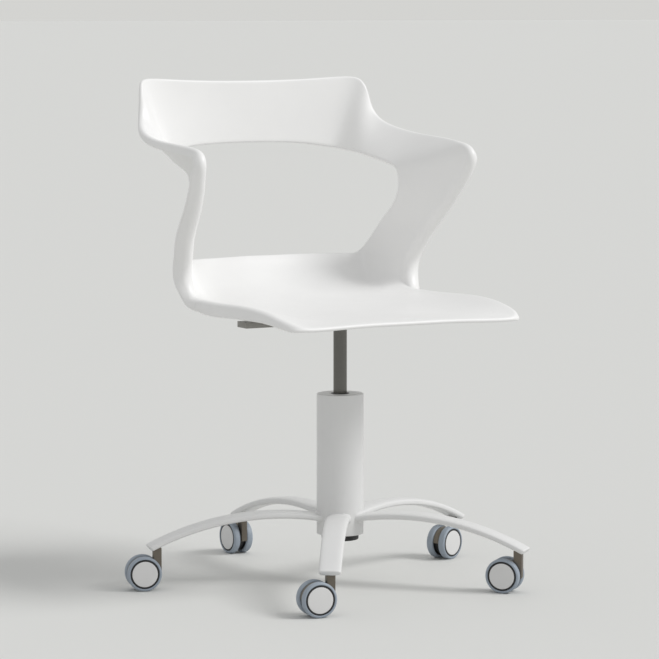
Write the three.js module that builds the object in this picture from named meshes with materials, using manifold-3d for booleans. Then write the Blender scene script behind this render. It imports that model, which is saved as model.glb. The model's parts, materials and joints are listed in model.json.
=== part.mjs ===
// A swivel chair: one moulded shell on a height-adjustable column, five arms and twin-wheel castors.
// Millimetres, +Z up. The sitter faces -Y, and Z = 0 is the floor.
import * as THREE from "three";
import { mergeVertices } from "three/addons/utils/BufferGeometryUtils.js";
import Module from "manifold-3d";

const wasm = await Module();
wasm.setup();

// Fits that every sub-part shares
const CLEARANCE = 0.3; // gap between two pieces that touch
const OVERRUN = 2; // how far a cut runs past the face that it opens
const WELD_DISTANCE = 0.0005; // points closer than this are one point

// Place of the column's axis, seen from the middle of the footprint
const COLUMN_X = 23.5;
const COLUMN_Y = -38.2;

// Shell
const SHELL_HALF_WIDTH = 255; // middle of the chair to the outer edge of an armrest
const SHELL_REACH = 325; // column's axis to the outside of the back
const SHELL_RISE = 370; // seat's front edge to the top of the back
const SEAT_EDGE_LEVEL = 439; // floor to the middle of the seat's front edge
const SHELL_WALL = 6.4;
const SEAT_DISH = 80; // how far the seat hangs below a straight line between its edges
const LIP_RADIUS = 10.6; // roll of the outer edge, taken at the middle of the wall
const LIP_RUN = 9; // straight part after the roll
const SHELL_STATIONS = 76; // cross-sections all the way round
const SHELL_STEPS = 7; // steps across one cross-section
const LIP_STEPS = 3;

// One row for each main cross-section of half the shell, from the middle of the back, round the
// shoulder, the armrest and the side support, to the middle of the seat's front edge. A row holds
// the window's edge and the outer edge: x of the half width, y of the reach and z of the rise.
const SHELL_EDGE_SHARES = [
  [[0, 0.991, 0.705], [0, 1, 0.984]],
  [[0.216, 0.986, 0.703], [0.255, 0.998, 0.986]],
  [[0.412, 0.969, 0.695], [0.51, 0.989, 0.993]],
  [[0.569, 0.938, 0.68], [0.716, 0.969, 1]],
  [[0.627, 0.911, 0.673], [0.8, 0.941, 0.993]],
  [[0.663, 0.862, 0.665], [0.835, 0.908, 0.957]],
  [[0.69, 0.791, 0.657], [0.855, 0.881, 0.883]],
  [[0.714, 0.714, 0.643], [0.89, 0.825, 0.814]],
  [[0.733, 0.631, 0.63], [0.945, 0.695, 0.773]],
  [[0.747, 0.554, 0.616], [0.984, 0.511, 0.75]],
  [[0.755, 0.498, 0.603], [0.998, 0.292, 0.738]],
  [[0.759, 0.468, 0.584], [0.978, 0.113, 0.726]],
  [[0.76, 0.458, 0.568], [0.968, 0.027, 0.711]],
  [[0.76, 0.452, 0.55], [0.963, -0.011, 0.682]],
  [[0.759, 0.449, 0.532], [0.962, -0.018, 0.644]],
  [[0.758, 0.451, 0.511], [0.951, 0.004, 0.597]],
  [[0.757, 0.477, 0.465], [0.926, 0.054, 0.532]],
  [[0.753, 0.532, 0.414], [0.889, 0.156, 0.422]],
  [[0.743, 0.606, 0.354], [0.849, 0.276, 0.314]],
  [[0.729, 0.677, 0.292], [0.813, 0.351, 0.227]],
  [[0.698, 0.735, 0.227], [0.799, 0.388, 0.149]],
  [[0.635, 0.731, 0.201], [0.802, 0.364, 0.091]],
  [[0.557, 0.717, 0.2], [0.817, 0.283, 0.065]],
  [[0.431, 0.705, 0.203], [0.839, 0.046, 0.055]],
  [[0.333, 0.697, 0.205], [0.851, -0.246, 0.058]],
  [[0.259, 0.692, 0.207], [0.841, -0.468, 0.049]],
  [[0.212, 0.689, 0.208], [0.828, -0.588, 0.031]],
  [[0.18, 0.688, 0.208], [0.79, -0.666, 0.011]],
  [[0.141, 0.686, 0.208], [0.715, -0.69, -0.003]],
  [[0.078, 0.684, 0.208], [0.373, -0.683, -0.001]],
  [[0, 0.683, 0.208], [0, -0.683, 0]],
];

// How the shell hangs between its two edges: at a row number, the place of the curve's two
// handles along the straight line and how far each hangs below it, as a share of the dish.
const SHELL_HANG_SHARES = [
  [0, 0.33, 0, 0.67, 0],
  [17, 0.33, 0, 0.67, 0],
  [19, 0.36, 0.07, 0.7, 0.05],
  [20.5, 0.36, 0.27, 0.7, 0.15],
  [22, 0.3, 0.64, 0.7, 0.25],
  [24, 0.2, 0.9, 0.68, 0.28],
  [27, 0.15, 1, 0.66, 0.25],
  [30, 0.14, 1, 0.635, 0.225],
];

// The rolled outer edge: at a row number, its radius as a share of the roll, its turn as a share
// of a half turn, and its straight part as a share of the run.
const SHELL_LIP_SHARES = [
  [0, 0.4, 0.1, 0],
  [5.5, 0.42, 0.14, 0],
  [7, 0.42, 0.3, 0.1],
  [8.5, 0.4, 0.54, 0.35],
  [10, 0.4, 0.63, 0.55],
  [12, 0.46, 0.67, 0.7],
  [14, 0.62, 0.68, 0.75],
  [16, 0.82, 0.69, 0.9],
  [17.5, 1, 0.7, 1],
  [19, 1.08, 0.7, 1.12],
  [20.2, 1.06, 0.66, 1.02],
  [21.2, 0.8, 0.54, 0.73],
  [21.8, 0.73, 0.5, 0.63],
  [22.3, 0.75, 0.5, 0.92],
  [23.4, 0.74, 0.5, 1.03],
  [24, 0.74, 0.49, 0.96],
  [24.5, 0.7, 0.48, 0.84],
  [25, 0.63, 0.46, 0.64],
  [25.6, 0.57, 0.44, 0.48],
  [26.2, 0.53, 0.41, 0.42],
  [26.8, 0.48, 0.36, 0.42],
  [27.4, 0.42, 0.28, 0.26],
  [28, 0.38, 0.17, 0.04],
  [28.6, 0.38, 0.13, 0],
  [30, 0.38, 0.12, 0],
];
const STATION_SPREAD_SHARE = 0.5; // below 1, stations crowd where the outline turns sharply
const SLOPE_STEP_SHARE = 0.0002; // step for slopes, as a share of the way round or across

// Seat mount: a plate under the shell, its socket and its screws
const BOSS_RADIUS = 9;
const BOSS_DROP = 6.8; // shell's underside on the axis to the bosses' flat ends
const PLATE_WIDTH = 150;
const PLATE_DEPTH = 170;
const PLATE_THICKNESS = 3;
const PLATE_CORNER = 14;
const SCREW_INSET = 16; // plate's edge to a screw's axis
const SCREW_RADIUS = 3;
const SCREW_HEAD_RADIUS = 6;
const SCREW_HEAD_HEIGHT = 3.5;
const SCREW_REACH = 8; // how far a screw goes into its boss
const SOCKET_RADIUS = 20;
const SOCKET_HEIGHT = 18;

// Release lever
const LEVER_REACH = 172; // column's axis to the lever's outer end
const LEVER_WIDTH = 31;
const LEVER_OFFSET = 12.5; // column's axis to the lever's middle line, towards the back
const LEVER_THICKNESS = 9.5;
const LEVER_NECK_THICKNESS = 7; // under the plate
const LEVER_NECK_EXTRA = 10; // how far the thinner part runs past the plate's edge
const LEVER_DROP = 4.6; // plate's underside to the top of the neck
const PIVOT_REACH = 35; // column's axis to the lever's pivot
const PIVOT_RADIUS = 3;
const PIVOT_HUB_RADIUS = 5.5;
const PIVOT_END = 1.5; // how far the pin stands out of each lug
const LUG_THICKNESS = 3;
const LUG_HALF_WIDTH = 6;
const FINGER_WIDTH = 12;
const FINGER_THICKNESS = 3.5;
const FINGER_REACH = 5; // how far the finger goes past the column's axis
const FINGER_RISE = 1.3; // plate's top to the finger's underside
const RISER_THICKNESS = 6;
const WINDOW_MARGIN = 4; // room round the finger in the plate

// Lift: the pressure tube, its piston and its release pin
const TUBE_RADIUS = 11;
const TUBE_TAPER = 0.7; // how much the radius shrinks in the socket
const TUBE_WALL = 3;
const TUBE_END = 8; // thickness of the tube's lower end
const TUBE_CROWN = 14; // thickness of the tube's upper end
const TUBE_FOOT_LEVEL = 195;
const ROD_RADIUS = 4;
const ROD_NECK_RADIUS = 3;
const PISTON_LEVEL = 288;
const PISTON_HEIGHT = 10;
const RELEASE_PIN_RADIUS = 2;
const RELEASE_COLLAR_RADIUS = 4;
const RELEASE_COLLAR_HEIGHT = 4;

// Column, foot cap and bearing
const COLUMN_RADIUS = 37.95;
const COLUMN_WALL = 2.5;
const COLUMN_FOOT_LEVEL = 78.5;
const COLUMN_TOP_LEVEL = 307;
const COLUMN_TOP_THICKNESS = 5;
const COLUMN_EDGE_RADIUS = 1.5;
const BUSH_WALL = 2;
const BUSH_LENGTH = 60;
const BUSH_FLANGE_WIDTH = 1.5;
const BUSH_FLANGE_THICKNESS = 1.8;
const BUSH_RECESS_DEPTH = 1.5; // recess for the flange in the column's top
const CAP_RADIUS = 30;
const CAP_DEPTH = 9.3; // how far the cap stands out under the column
const CAP_EDGE_RADIUS = 1.5;
const CAP_PLUG_HEIGHT = 10;
const CAP_PLUG_WALL = 3;
const CAP_FLOOR = 9; // thickness of the cap's floor, over its recess
const CAP_RECESS_RADIUS = 9;
const CAP_RECESS_DEPTH = 5;
const BEARING_RADIUS = 14;
const BEARING_HEIGHT = 7;
const COLLAR_RADIUS = 9;
const COLLAR_HEIGHT = 4;
const CLIP_RADIUS = 7.5;
const CLIP_THICKNESS = 1;

// Arms
const ARM_ARC_RADIUS = 457.5; // side view of an arm's top line
const ARM_CREST_REACH = 116; // column's axis to the highest point of that arc
const ARM_END_LEVEL = 79.4; // an arm's top line over its castor
const ARM_OVERHANG = 16.5; // castor's swivel axis to the arm's tip
const ARM_WIDTH = 39;
const ARM_TIP_WIDTH = 34.5;
const ARM_THICKNESS = 12;
const ARM_SQUARENESS_SHARE = 0.6; // 1 is an ellipse, less is a flatter oval
const ARM_END_CORNER = 4; // round corners of an arm's end, seen from above
const ARM_END_EDGE = 2.5; // the same corners, seen from the side
const ARM_END_SLANT_SHARE = 0.6; // how far an arm's end leans in, for each length down
const ARM_SLANT_LENGTH = 40; // part of an arm over which its sections come to lean so
const ARM_WELD_FILLET = 4; // above and below an arm, at the column
const ARM_WELD_STEPS = 6;
const ARM_STEPS = 6;
const ARM_TIP_SHARES = [0, 0.3, 0.6, 0.8, 0.93, 1]; // places along the rounded end
const ARM_SIDES = 12;
const STEM_REACH = 303.5; // column's axis to a castor's swivel axis
const STEM_RECESS_DEPTH = 1; // castor post's seat in an arm's underside, at the swivel axis
const STEM_BORE_DEPTH = 6.5; // above that seat

// Castors, each pointing the way it was left
const FIRST_ARM_DEGREES = -32;
const CASTORS = [
  { name: "front_right", swivelDegrees: -8.5 },
  { name: "front_left", swivelDegrees: -48.9 },
  { name: "rear_left", swivelDegrees: 22.8 },
  { name: "rear", swivelDegrees: -87.5 },
  { name: "rear_right", swivelDegrees: -16.2 },
];
const TYRE_RADIUS = 27.75;
const TYRE_EDGE_RADIUS = 3;
const WHEEL_RADIUS = 23.3;
const WHEEL_DISC_RADIUS = 20.5;
const WHEEL_GROOVE_DEPTH = 0.8; // round the disc on a wheel's outer face
const WHEEL_INNER = 5.8; // castor's middle plane to a wheel's inner face
const WHEEL_OUTER = 18.3; // castor's middle plane to a wheel's outer face
const CASTOR_TRAIL = 22.3; // swivel axis to axle
const AXLE_RADIUS = 3;
const AXLE_END_WALL = 3; // what is left of a wheel outside its axle
const FORK_THICKNESS = 10.4;
const POST_HALF_WIDTH = 6.85;
const POST_TAIL = 5; // how far the post runs down past the axle
const HOOD_RADIUS = 25.5;
const CORE_RADIUS = 21;
const STEM_PIN_RADIUS = 4;
const STEM_PIN_SEAT = 12; // depth of the pin's bore in the post

// Steps round a turned piece
const FINE_SIDES = 24;
const WHEEL_SIDES = 20;
const SMALL_SIDES = 10;

const FINISHES = {
  shell: { color: 0xf1f0ee, roughness: 0.45, metalness: 0 },
  whitePaint: { color: 0xefeeec, roughness: 0.4, metalness: 0.1 },
  darkMetal: { color: 0x4a4846, roughness: 0.35, metalness: 0.9 },
  steel: { color: 0x9a9a9a, roughness: 0.3, metalness: 1 },
  castorMetal: { color: 0x6f675c, roughness: 0.4, metalness: 0.8 },
  blackPlastic: { color: 0x161616, roughness: 0.5, metalness: 0 },
  wheelPlastic: { color: 0xd0d0d0, roughness: 0.4, metalness: 0 },
  tyre: { color: 0x8a94a3, roughness: 0.55, metalness: 0 },
};

// Returns the six-fold volume inside a closed mesh, negative if its faces point in.
function signedVolume(geometry) {
  const position = geometry.attributes.position;
  const index = geometry.index;
  const [a, b, c] = [new THREE.Vector3(), new THREE.Vector3(), new THREE.Vector3()];
  let total = 0;
  for (let i = 0; i < index.count; i += 3) {
    a.fromBufferAttribute(position, index.getX(i));
    b.fromBufferAttribute(position, index.getX(i + 1));
    c.fromBufferAttribute(position, index.getX(i + 2));
    total += a.dot(b.cross(c));
  }
  return total;
}

// Merges shared points, drops faces without area and turns all faces outwards.
function welded(geometry) {
  const bare = geometry.clone();
  bare.deleteAttribute("normal");
  bare.deleteAttribute("uv");
  const merged = mergeVertices(bare, WELD_DISTANCE);
  const corners = merged.index.array;
  const kept = [];
  for (let i = 0; i < corners.length; i += 3) {
    const [a, b, c] = [corners[i], corners[i + 1], corners[i + 2]];
    if (a !== b && b !== c && c !== a) kept.push(a, b, c);
  }
  merged.setIndex(kept);
  if (signedVolume(merged) < 0) merged.setIndex(kept.reverse());
  return merged;
}

function toSolid(geometry) {
  const mesh = welded(geometry);
  return new wasm.Manifold(new wasm.Mesh({
    numProp: 3,
    vertProperties: Float32Array.from(mesh.attributes.position.array),
    triVerts: Uint32Array.from(mesh.index.array),
  }));
}

function toGeometry(solid) {
  const mesh = solid.getMesh();
  const geometry = new THREE.BufferGeometry();
  geometry.setAttribute("position", new THREE.Float32BufferAttribute(mesh.vertProperties, 3));
  geometry.setIndex(Array.from(mesh.triVerts));
  return geometry;
}

// Joins and cuts closed geometries.
function combined(base, { joined = [], cut = [] }) {
  let solid = toSolid(base);
  for (const piece of joined) solid = solid.add(toSolid(piece));
  for (const piece of cut) solid = solid.subtract(toSolid(piece));
  return toGeometry(solid);
}

// Turns a closed outline of [radius, level] points about Z.
function turned(outline, sides) {
  const closed = [...outline, outline[0]].map(([radius, level]) => new THREE.Vector2(radius, level));
  return new THREE.LatheGeometry(closed, sides).rotateX(Math.PI / 2);
}

function ring(inner, outer, bottom, top, sides) {
  return turned([[inner, bottom], [outer, bottom], [outer, top], [inner, top]], sides);
}

function rod(radius, bottom, top, sides) {
  const length = top - bottom;
  return new THREE.CylinderGeometry(radius, radius, length, sides)
    .rotateX(Math.PI / 2)
    .translate(0, 0, bottom + length / 2);
}

// A box between two corners.
function block(low, high) {
  const size = high.map((value, axis) => value - low[axis]);
  const middle = high.map((value, axis) => (value + low[axis]) / 2);
  return new THREE.BoxGeometry(...size).translate(...middle);
}

// An outline in X and Z, as thick as asked and centred on Y = 0.
function sidePlate(shape, thickness, curveSegments) {
  return new THREE.ExtrudeGeometry(shape, { depth: thickness, bevelEnabled: false, curveSegments })
    .rotateX(Math.PI / 2)
    .translate(0, thickness / 2, 0);
}

// Joins rings of points, all of one length, into a tube, closed on itself or with flat ends.
function tubeOfRings(rings, endless) {
  const count = rings[0].length;
  const faces = [];
  const joints = endless ? rings.length : rings.length - 1;
  for (let i = 0; i < joints; i += 1) {
    const [here, there] = [i * count, ((i + 1) % rings.length) * count];
    for (let j = 0; j < count; j += 1) {
      const next = (j + 1) % count;
      faces.push(here + j, there + j, there + next, here + j, there + next, here + next);
    }
  }
  if (!endless) {
    const last = (rings.length - 1) * count;
    for (let j = 1; j < count - 1; j += 1) {
      faces.push(0, j, j + 1, last, last + j + 1, last + j);
    }
  }
  const geometry = new THREE.BufferGeometry().setFromPoints(rings.flat());
  geometry.setIndex(faces);
  return geometry;
}

// Number of the span between two knots that a place lies in.
function spanOf(knots, place) {
  const passed = knots.filter((knot) => knot <= place).length;
  return Math.min(knots.length - 2, Math.max(0, passed - 1));
}

// A smooth curve through values at knots. At both ends, on the middle plane of the chair, it is
// straight where the value changes sign across that plane, and level where it doesn't.
function smoothThrough(knots, values, changesSign) {
  const last = knots.length - 1;
  const width = (i) => knots[i + 1] - knots[i];
  const slope = (i) => (values[i + 1] - values[i]) / width(i);
  const diagonal = [changesSign ? 1 : 2 * width(0)];
  const above = [changesSign ? 0 : width(0)];
  const known = [changesSign ? 0 : 6 * slope(0)];
  for (let i = 1; i <= last; i += 1) {
    const atEnd = i === last;
    const below = atEnd && changesSign ? 0 : width(i - 1);
    const factor = below / diagonal[i - 1];
    let own = atEnd ? 2 * width(i - 1) : 2 * (width(i - 1) + width(i));
    let target = atEnd ? -6 * slope(i - 1) : 6 * (slope(i) - slope(i - 1));
    if (atEnd && changesSign) [own, target] = [1, 0];
    diagonal.push(own - factor * above[i - 1]);
    above.push(atEnd ? 0 : width(i));
    known.push(target - factor * known[i - 1]);
  }
  const bend = new Array(last + 1).fill(0);
  for (let i = last; i >= 0; i -= 1) {
    bend[i] = (known[i] - above[i] * (bend[i + 1] ?? 0)) / diagonal[i];
  }
  return (place) => {
    const at = Math.min(Math.max(place, knots[0]), knots[last]);
    const i = spanOf(knots, at);
    const [before, after] = [(knots[i + 1] - at) / width(i), (at - knots[i]) / width(i)];
    const curve = (before ** 3 - before) * bend[i] + (after ** 3 - after) * bend[i + 1];
    return before * values[i] + after * values[i + 1] + (curve * width(i) ** 2) / 6;
  };
}

// Eases between the rows of a small table, whose first column is the row number on the shell.
function eased(table, column, row) {
  let i = table.length - 2;
  while (i > 0 && table[i][0] > row) i -= 1;
  const share = Math.min(1, (row - table[i][0]) / (table[i + 1][0] - table[i][0]));
  const ease = share * share * (3 - 2 * share);
  return table[i][column] * (1 - ease) + table[i + 1][column] * ease;
}

// The shell's outline, ready to be sampled at any place from -1 to 1 round the chair.
function shellOutline() {
  const scale = [SHELL_HALF_WIDTH, SHELL_REACH, SHELL_RISE];
  const lift = [0, 0, SEAT_EDGE_LEVEL];
  const placed = (edge) => edge.map((share, axis) => share * scale[axis] + lift[axis]);
  const rows = SHELL_EDGE_SHARES.map((row) => row.map(placed));
  const point = (row, edge) => new THREE.Vector3(...rows[row][edge]);
  const knots = [0];
  for (let i = 1; i < rows.length; i += 1) {
    const step = point(i, 0).distanceTo(point(i - 1, 0)) + point(i, 1).distanceTo(point(i - 1, 1));
    knots.push(knots[i - 1] + (step / SHELL_REACH) ** STATION_SPREAD_SHARE);
  }
  const whole = knots[knots.length - 1];
  const places = knots.map((knot) => knot / whole);
  const curveOf = (edge, axis) => smoothThrough(places, rows.map((row) => row[edge][axis]), axis === 0);
  const curves = [0, 1].map((edge) => [0, 1, 2].map((axis) => curveOf(edge, axis)));
  const rowNumber = (place) => {
    const i = spanOf(places, place);
    return i + (place - places[i]) / (places[i + 1] - places[i]);
  };
  const edgeAt = (edge, place) => {
    const [x, y, z] = curves[edge].map((curve) => curve(Math.abs(place)));
    return new THREE.Vector3(place < 0 ? -x : x, y, z);
  };
  return { edgeAt, rowNumber };
}

// Keeps a place round the chair between -1 and 1.
function wrapped(place) {
  if (place < -1) return place + 2;
  return place >= 1 ? place - 2 : place;
}

// What shapes one cross-section of the shell.
function shellStation(outline, place) {
  const row = outline.rowNumber(Math.abs(place));
  const [inner, outer] = [outline.edgeAt(0, place), outline.edgeAt(1, place)];
  const along = [0, 1].map((edge) => outline.edgeAt(edge, wrapped(place + SLOPE_STEP_SHARE))
    .sub(outline.edgeAt(edge, wrapped(place - SLOPE_STEP_SHARE)))
    .normalize());
  const hang = (column) => eased(SHELL_HANG_SHARES, column, row);
  const [nearShare, nearDrop, farShare, farDrop] = [hang(1), hang(2), hang(3), hang(4)];
  const near = inner.clone().lerp(outer, nearShare);
  near.z -= nearDrop * SEAT_DISH;
  const far = inner.clone().lerp(outer, farShare);
  far.z -= farDrop * SEAT_DISH;
  const lipRadius = eased(SHELL_LIP_SHARES, 1, row) * LIP_RADIUS;
  const lipTurn = eased(SHELL_LIP_SHARES, 2, row) * Math.PI;
  const lipRun = eased(SHELL_LIP_SHARES, 3, row) * LIP_RUN;
  const square = (vector, edge) => vector.addScaledVector(along[edge], -vector.dot(along[edge])).normalize();
  const outwards = square(outer.clone().sub(far), 1);
  const inwards = square(inner.clone().sub(near), 0);
  const halfWall = SHELL_WALL / 2;
  const setBack = Math.max(halfWall, (lipRadius + halfWall) * Math.sin(Math.min(lipTurn, Math.PI / 2)));
  const curve = new THREE.CubicBezierCurve3(
    inner.clone().addScaledVector(inwards, -halfWall),
    near,
    far,
    outer.clone().addScaledVector(outwards, -setBack),
  );
  return { curve, alongEdge: along[1], lipRadius, lipTurn, lipRun };
}

// The closed outline of the wall at one place round the shell.
function shellRing(outline, place) {
  const station = shellStation(outline, place);
  const ahead = shellStation(outline, wrapped(place + SLOPE_STEP_SHARE));
  const behind = shellStation(outline, wrapped(place - SLOPE_STEP_SHARE));
  const halfWall = SHELL_WALL / 2;
  const middle = [];
  for (let i = 0; i <= SHELL_STEPS; i += 1) {
    const share = i / SHELL_STEPS;
    const point = station.curve.getPoint(share);
    const round = ahead.curve.getPoint(share).sub(behind.curve.getPoint(share));
    const across = station.curve.getTangent(share);
    middle.push({ point, normal: round.cross(across).normalize(), across });
  }
  const rim = middle[middle.length - 1];
  const outwards = rim.normal.clone().cross(station.alongEdge).normalize();
  for (let i = 1; i <= LIP_STEPS; i += 1) {
    const turn = (station.lipTurn * i) / LIP_STEPS;
    const [sine, cosine] = [Math.sin(turn), Math.cos(turn)];
    const normal = rim.normal.clone().multiplyScalar(cosine).addScaledVector(outwards, sine);
    const across = outwards.clone().multiplyScalar(cosine).addScaledVector(rim.normal, -sine);
    const point = rim.point.clone()
      .addScaledVector(outwards, station.lipRadius * sine)
      .addScaledVector(rim.normal, station.lipRadius * (cosine - 1));
    if (i === LIP_STEPS) point.addScaledVector(across, station.lipRun);
    middle.push({ point, normal, across });
  }
  const offset = ({ point, normal }, distance) => point.clone().addScaledVector(normal, distance);
  const nose = ({ point, across }, distance) => point.clone().addScaledVector(across, distance);
  const upper = middle.map((entry) => offset(entry, halfWall));
  const lower = middle.map((entry) => offset(entry, -halfWall)).reverse();
  return [...upper, nose(middle[middle.length - 1], halfWall), ...lower, nose(middle[0], -halfWall)];
}

function shellSkin() {
  const outline = shellOutline();
  const rings = [];
  for (let i = 0; i < SHELL_STATIONS; i += 1) rings.push(shellRing(outline, -1 + (2 * i) / SHELL_STATIONS));
  return welded(tubeOfRings(rings, true));
}

// Height of the first surface of a geometry above a point on the floor.
function undersideAt(geometry, x, y) {
  const target = new THREE.Mesh(geometry, new THREE.MeshBasicMaterial({ side: THREE.DoubleSide }));
  const ray = new THREE.Raycaster(new THREE.Vector3(x, y, 0), new THREE.Vector3(0, 0, 1));
  return ray.intersectObject(target)[0].point.z;
}

// Sizes that several sub-parts share
const skin = shellSkin();
const plateTop = undersideAt(skin, 0, 0) - BOSS_DROP;
const plateBottom = plateTop - PLATE_THICKNESS;
const screwX = PLATE_WIDTH / 2 - SCREW_INSET;
const screwY = PLATE_DEPTH / 2 - SCREW_INSET;
const screwPlaces = [[-screwX, -screwY], [screwX, -screwY], [screwX, screwY], [-screwX, screwY]];
const bossBottom = plateTop + CLEARANCE;
const screwTop = bossBottom + SCREW_REACH;
const screwHole = SCREW_RADIUS + CLEARANCE;
const leverSide = LEVER_OFFSET - LEVER_WIDTH / 2;
const leverBottom = plateBottom - LEVER_DROP - LEVER_NECK_THICKNESS;
const pivotLevel = plateBottom - LEVER_DROP - LEVER_NECK_THICKNESS / 2;
const pivotHole = PIVOT_RADIUS + CLEARANCE;
const fingerBottom = plateTop + FINGER_RISE;
const tubeTop = plateBottom - CLEARANCE;
const boreRadius = TUBE_RADIUS - TUBE_WALL;
const capBottom = COLUMN_FOOT_LEVEL - CAP_DEPTH;
const capFloorTop = capBottom + CAP_RECESS_DEPTH + CAP_FLOOR;
const bearingBottom = capFloorTop + CLEARANCE;
const collarBottom = bearingBottom + BEARING_HEIGHT + CLEARANCE;
const clipTop = capBottom + CAP_RECESS_DEPTH - CLEARANCE;
const bushSleeve = TUBE_RADIUS + CLEARANCE + BUSH_WALL;
const flangeSeat = COLUMN_TOP_LEVEL - BUSH_RECESS_DEPTH;
const armReach = STEM_REACH + ARM_OVERHANG;
const stemSeatLevel = ARM_END_LEVEL - ARM_THICKNESS + STEM_RECESS_DEPTH;
const postTop = stemSeatLevel - CLEARANCE;

// The seat, back, armrests and side supports, moulded as one shell round a window.
function shell() {
  const bosses = [];
  const holes = [];
  for (const [x, y] of screwPlaces) {
    const wallMiddle = undersideAt(skin, x, y) + SHELL_WALL / 2;
    bosses.push(rod(BOSS_RADIUS, bossBottom, wallMiddle, SMALL_SIDES).translate(x, y, 0));
    holes.push(rod(screwHole, bossBottom - OVERRUN, screwTop + CLEARANCE, SMALL_SIDES).translate(x, y, 0));
  }
  return combined(skin, { joined: bosses, cut: holes });
}

// A pressed plate with two lugs for the lever's pin and a window for its finger.
function seatPlate() {
  const [halfWidth, halfDepth] = [PLATE_WIDTH / 2, PLATE_DEPTH / 2];
  const outline = new THREE.Shape();
  outline.moveTo(PLATE_CORNER - halfWidth, -halfDepth);
  outline.lineTo(halfWidth - PLATE_CORNER, -halfDepth);
  outline.absarc(halfWidth - PLATE_CORNER, PLATE_CORNER - halfDepth, PLATE_CORNER, -Math.PI / 2, 0);
  outline.absarc(halfWidth - PLATE_CORNER, halfDepth - PLATE_CORNER, PLATE_CORNER, 0, Math.PI / 2);
  outline.absarc(PLATE_CORNER - halfWidth, halfDepth - PLATE_CORNER, PLATE_CORNER, Math.PI / 2, Math.PI);
  outline.absarc(PLATE_CORNER - halfWidth, PLATE_CORNER - halfDepth, PLATE_CORNER, Math.PI, Math.PI * 1.5);
  const sheet = new THREE.ExtrudeGeometry(outline, {
    depth: PLATE_THICKNESS,
    bevelEnabled: false,
    curveSegments: 4,
  }).translate(0, 0, plateBottom);
  const lugBottom = pivotLevel - LUG_HALF_WIDTH;
  const lugSides = [leverSide - CLEARANCE - LUG_THICKNESS, leverSide + LEVER_WIDTH + CLEARANCE];
  const lugs = lugSides.map((side) => block(
    [-PIVOT_REACH - LUG_HALF_WIDTH, side, lugBottom],
    [-PIVOT_REACH + LUG_HALF_WIDTH, side + LUG_THICKNESS, plateBottom + PLATE_THICKNESS / 2],
  ));
  const window = block(
    [-PIVOT_REACH - WINDOW_MARGIN, leverSide - WINDOW_MARGIN, plateBottom - OVERRUN],
    [FINGER_REACH + WINDOW_MARGIN, leverSide + FINGER_WIDTH + WINDOW_MARGIN, plateTop + OVERRUN],
  );
  const pinHole = pivotCylinder(pivotHole, OVERRUN);
  const hole = rod(screwHole, plateBottom - OVERRUN, plateTop + OVERRUN, SMALL_SIDES);
  const screwHoles = screwPlaces.map(([x, y]) => hole.clone().translate(x, y, 0));
  return combined(sheet, { joined: lugs, cut: [window, pinHole, ...screwHoles] });
}

// The lever's pin, or the hole for it, across the lugs and a bit more at both ends.
function pivotCylinder(radius, extra) {
  const length = LEVER_WIDTH + 2 * (CLEARANCE + LUG_THICKNESS + extra);
  return new THREE.CylinderGeometry(radius, radius, length, SMALL_SIDES)
    .translate(-PIVOT_REACH, LEVER_OFFSET, pivotLevel);
}

// The cone that the pressure tube is pushed into.
function taperSocket() {
  const bottom = plateBottom - CLEARANCE - SOCKET_HEIGHT;
  const top = plateBottom - CLEARANCE;
  const [wide, narrow] = [TUBE_RADIUS + CLEARANCE, TUBE_RADIUS - TUBE_TAPER + CLEARANCE];
  return turned([[wide, bottom], [SOCKET_RADIUS, bottom], [SOCKET_RADIUS, top], [narrow, top]], FINE_SIDES);
}

// A screw that comes up through the plate into its boss.
function seatScrew() {
  const headTop = plateBottom - CLEARANCE;
  return turned([
    [0, headTop - SCREW_HEAD_HEIGHT],
    [SCREW_HEAD_RADIUS, headTop - SCREW_HEAD_HEIGHT],
    [SCREW_HEAD_RADIUS, headTop],
    [SCREW_RADIUS, headTop],
    [SCREW_RADIUS, screwTop],
    [0, screwTop],
  ], SMALL_SIDES);
}

// A flat bar with a thinner neck, a hub on the pin and a finger over the release pin.
function lever() {
  const neckEnd = -PLATE_WIDTH / 2 - LEVER_NECK_EXTRA;
  const farSide = leverSide + LEVER_WIDTH;
  const bar = block(
    [-LEVER_REACH, leverSide, leverBottom],
    [neckEnd, farSide, leverBottom + LEVER_THICKNESS],
  );
  const neck = block(
    [neckEnd - OVERRUN, leverSide, leverBottom],
    [-PIVOT_REACH, farSide, leverBottom + LEVER_NECK_THICKNESS],
  );
  const hub = new THREE.CylinderGeometry(PIVOT_HUB_RADIUS, PIVOT_HUB_RADIUS, LEVER_WIDTH, FINE_SIDES)
    .translate(-PIVOT_REACH, LEVER_OFFSET, pivotLevel);
  const riserStart = pivotHole - PIVOT_REACH;
  const riser = block(
    [riserStart, leverSide, pivotLevel - PIVOT_RADIUS],
    [riserStart + RISER_THICKNESS, leverSide + FINGER_WIDTH, fingerBottom + FINGER_THICKNESS],
  );
  const finger = block(
    [riserStart, leverSide, fingerBottom],
    [FINGER_REACH, leverSide + FINGER_WIDTH, fingerBottom + FINGER_THICKNESS],
  );
  return combined(bar, { joined: [neck, hub, riser, finger], cut: [pivotCylinder(pivotHole, OVERRUN)] });
}

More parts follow.
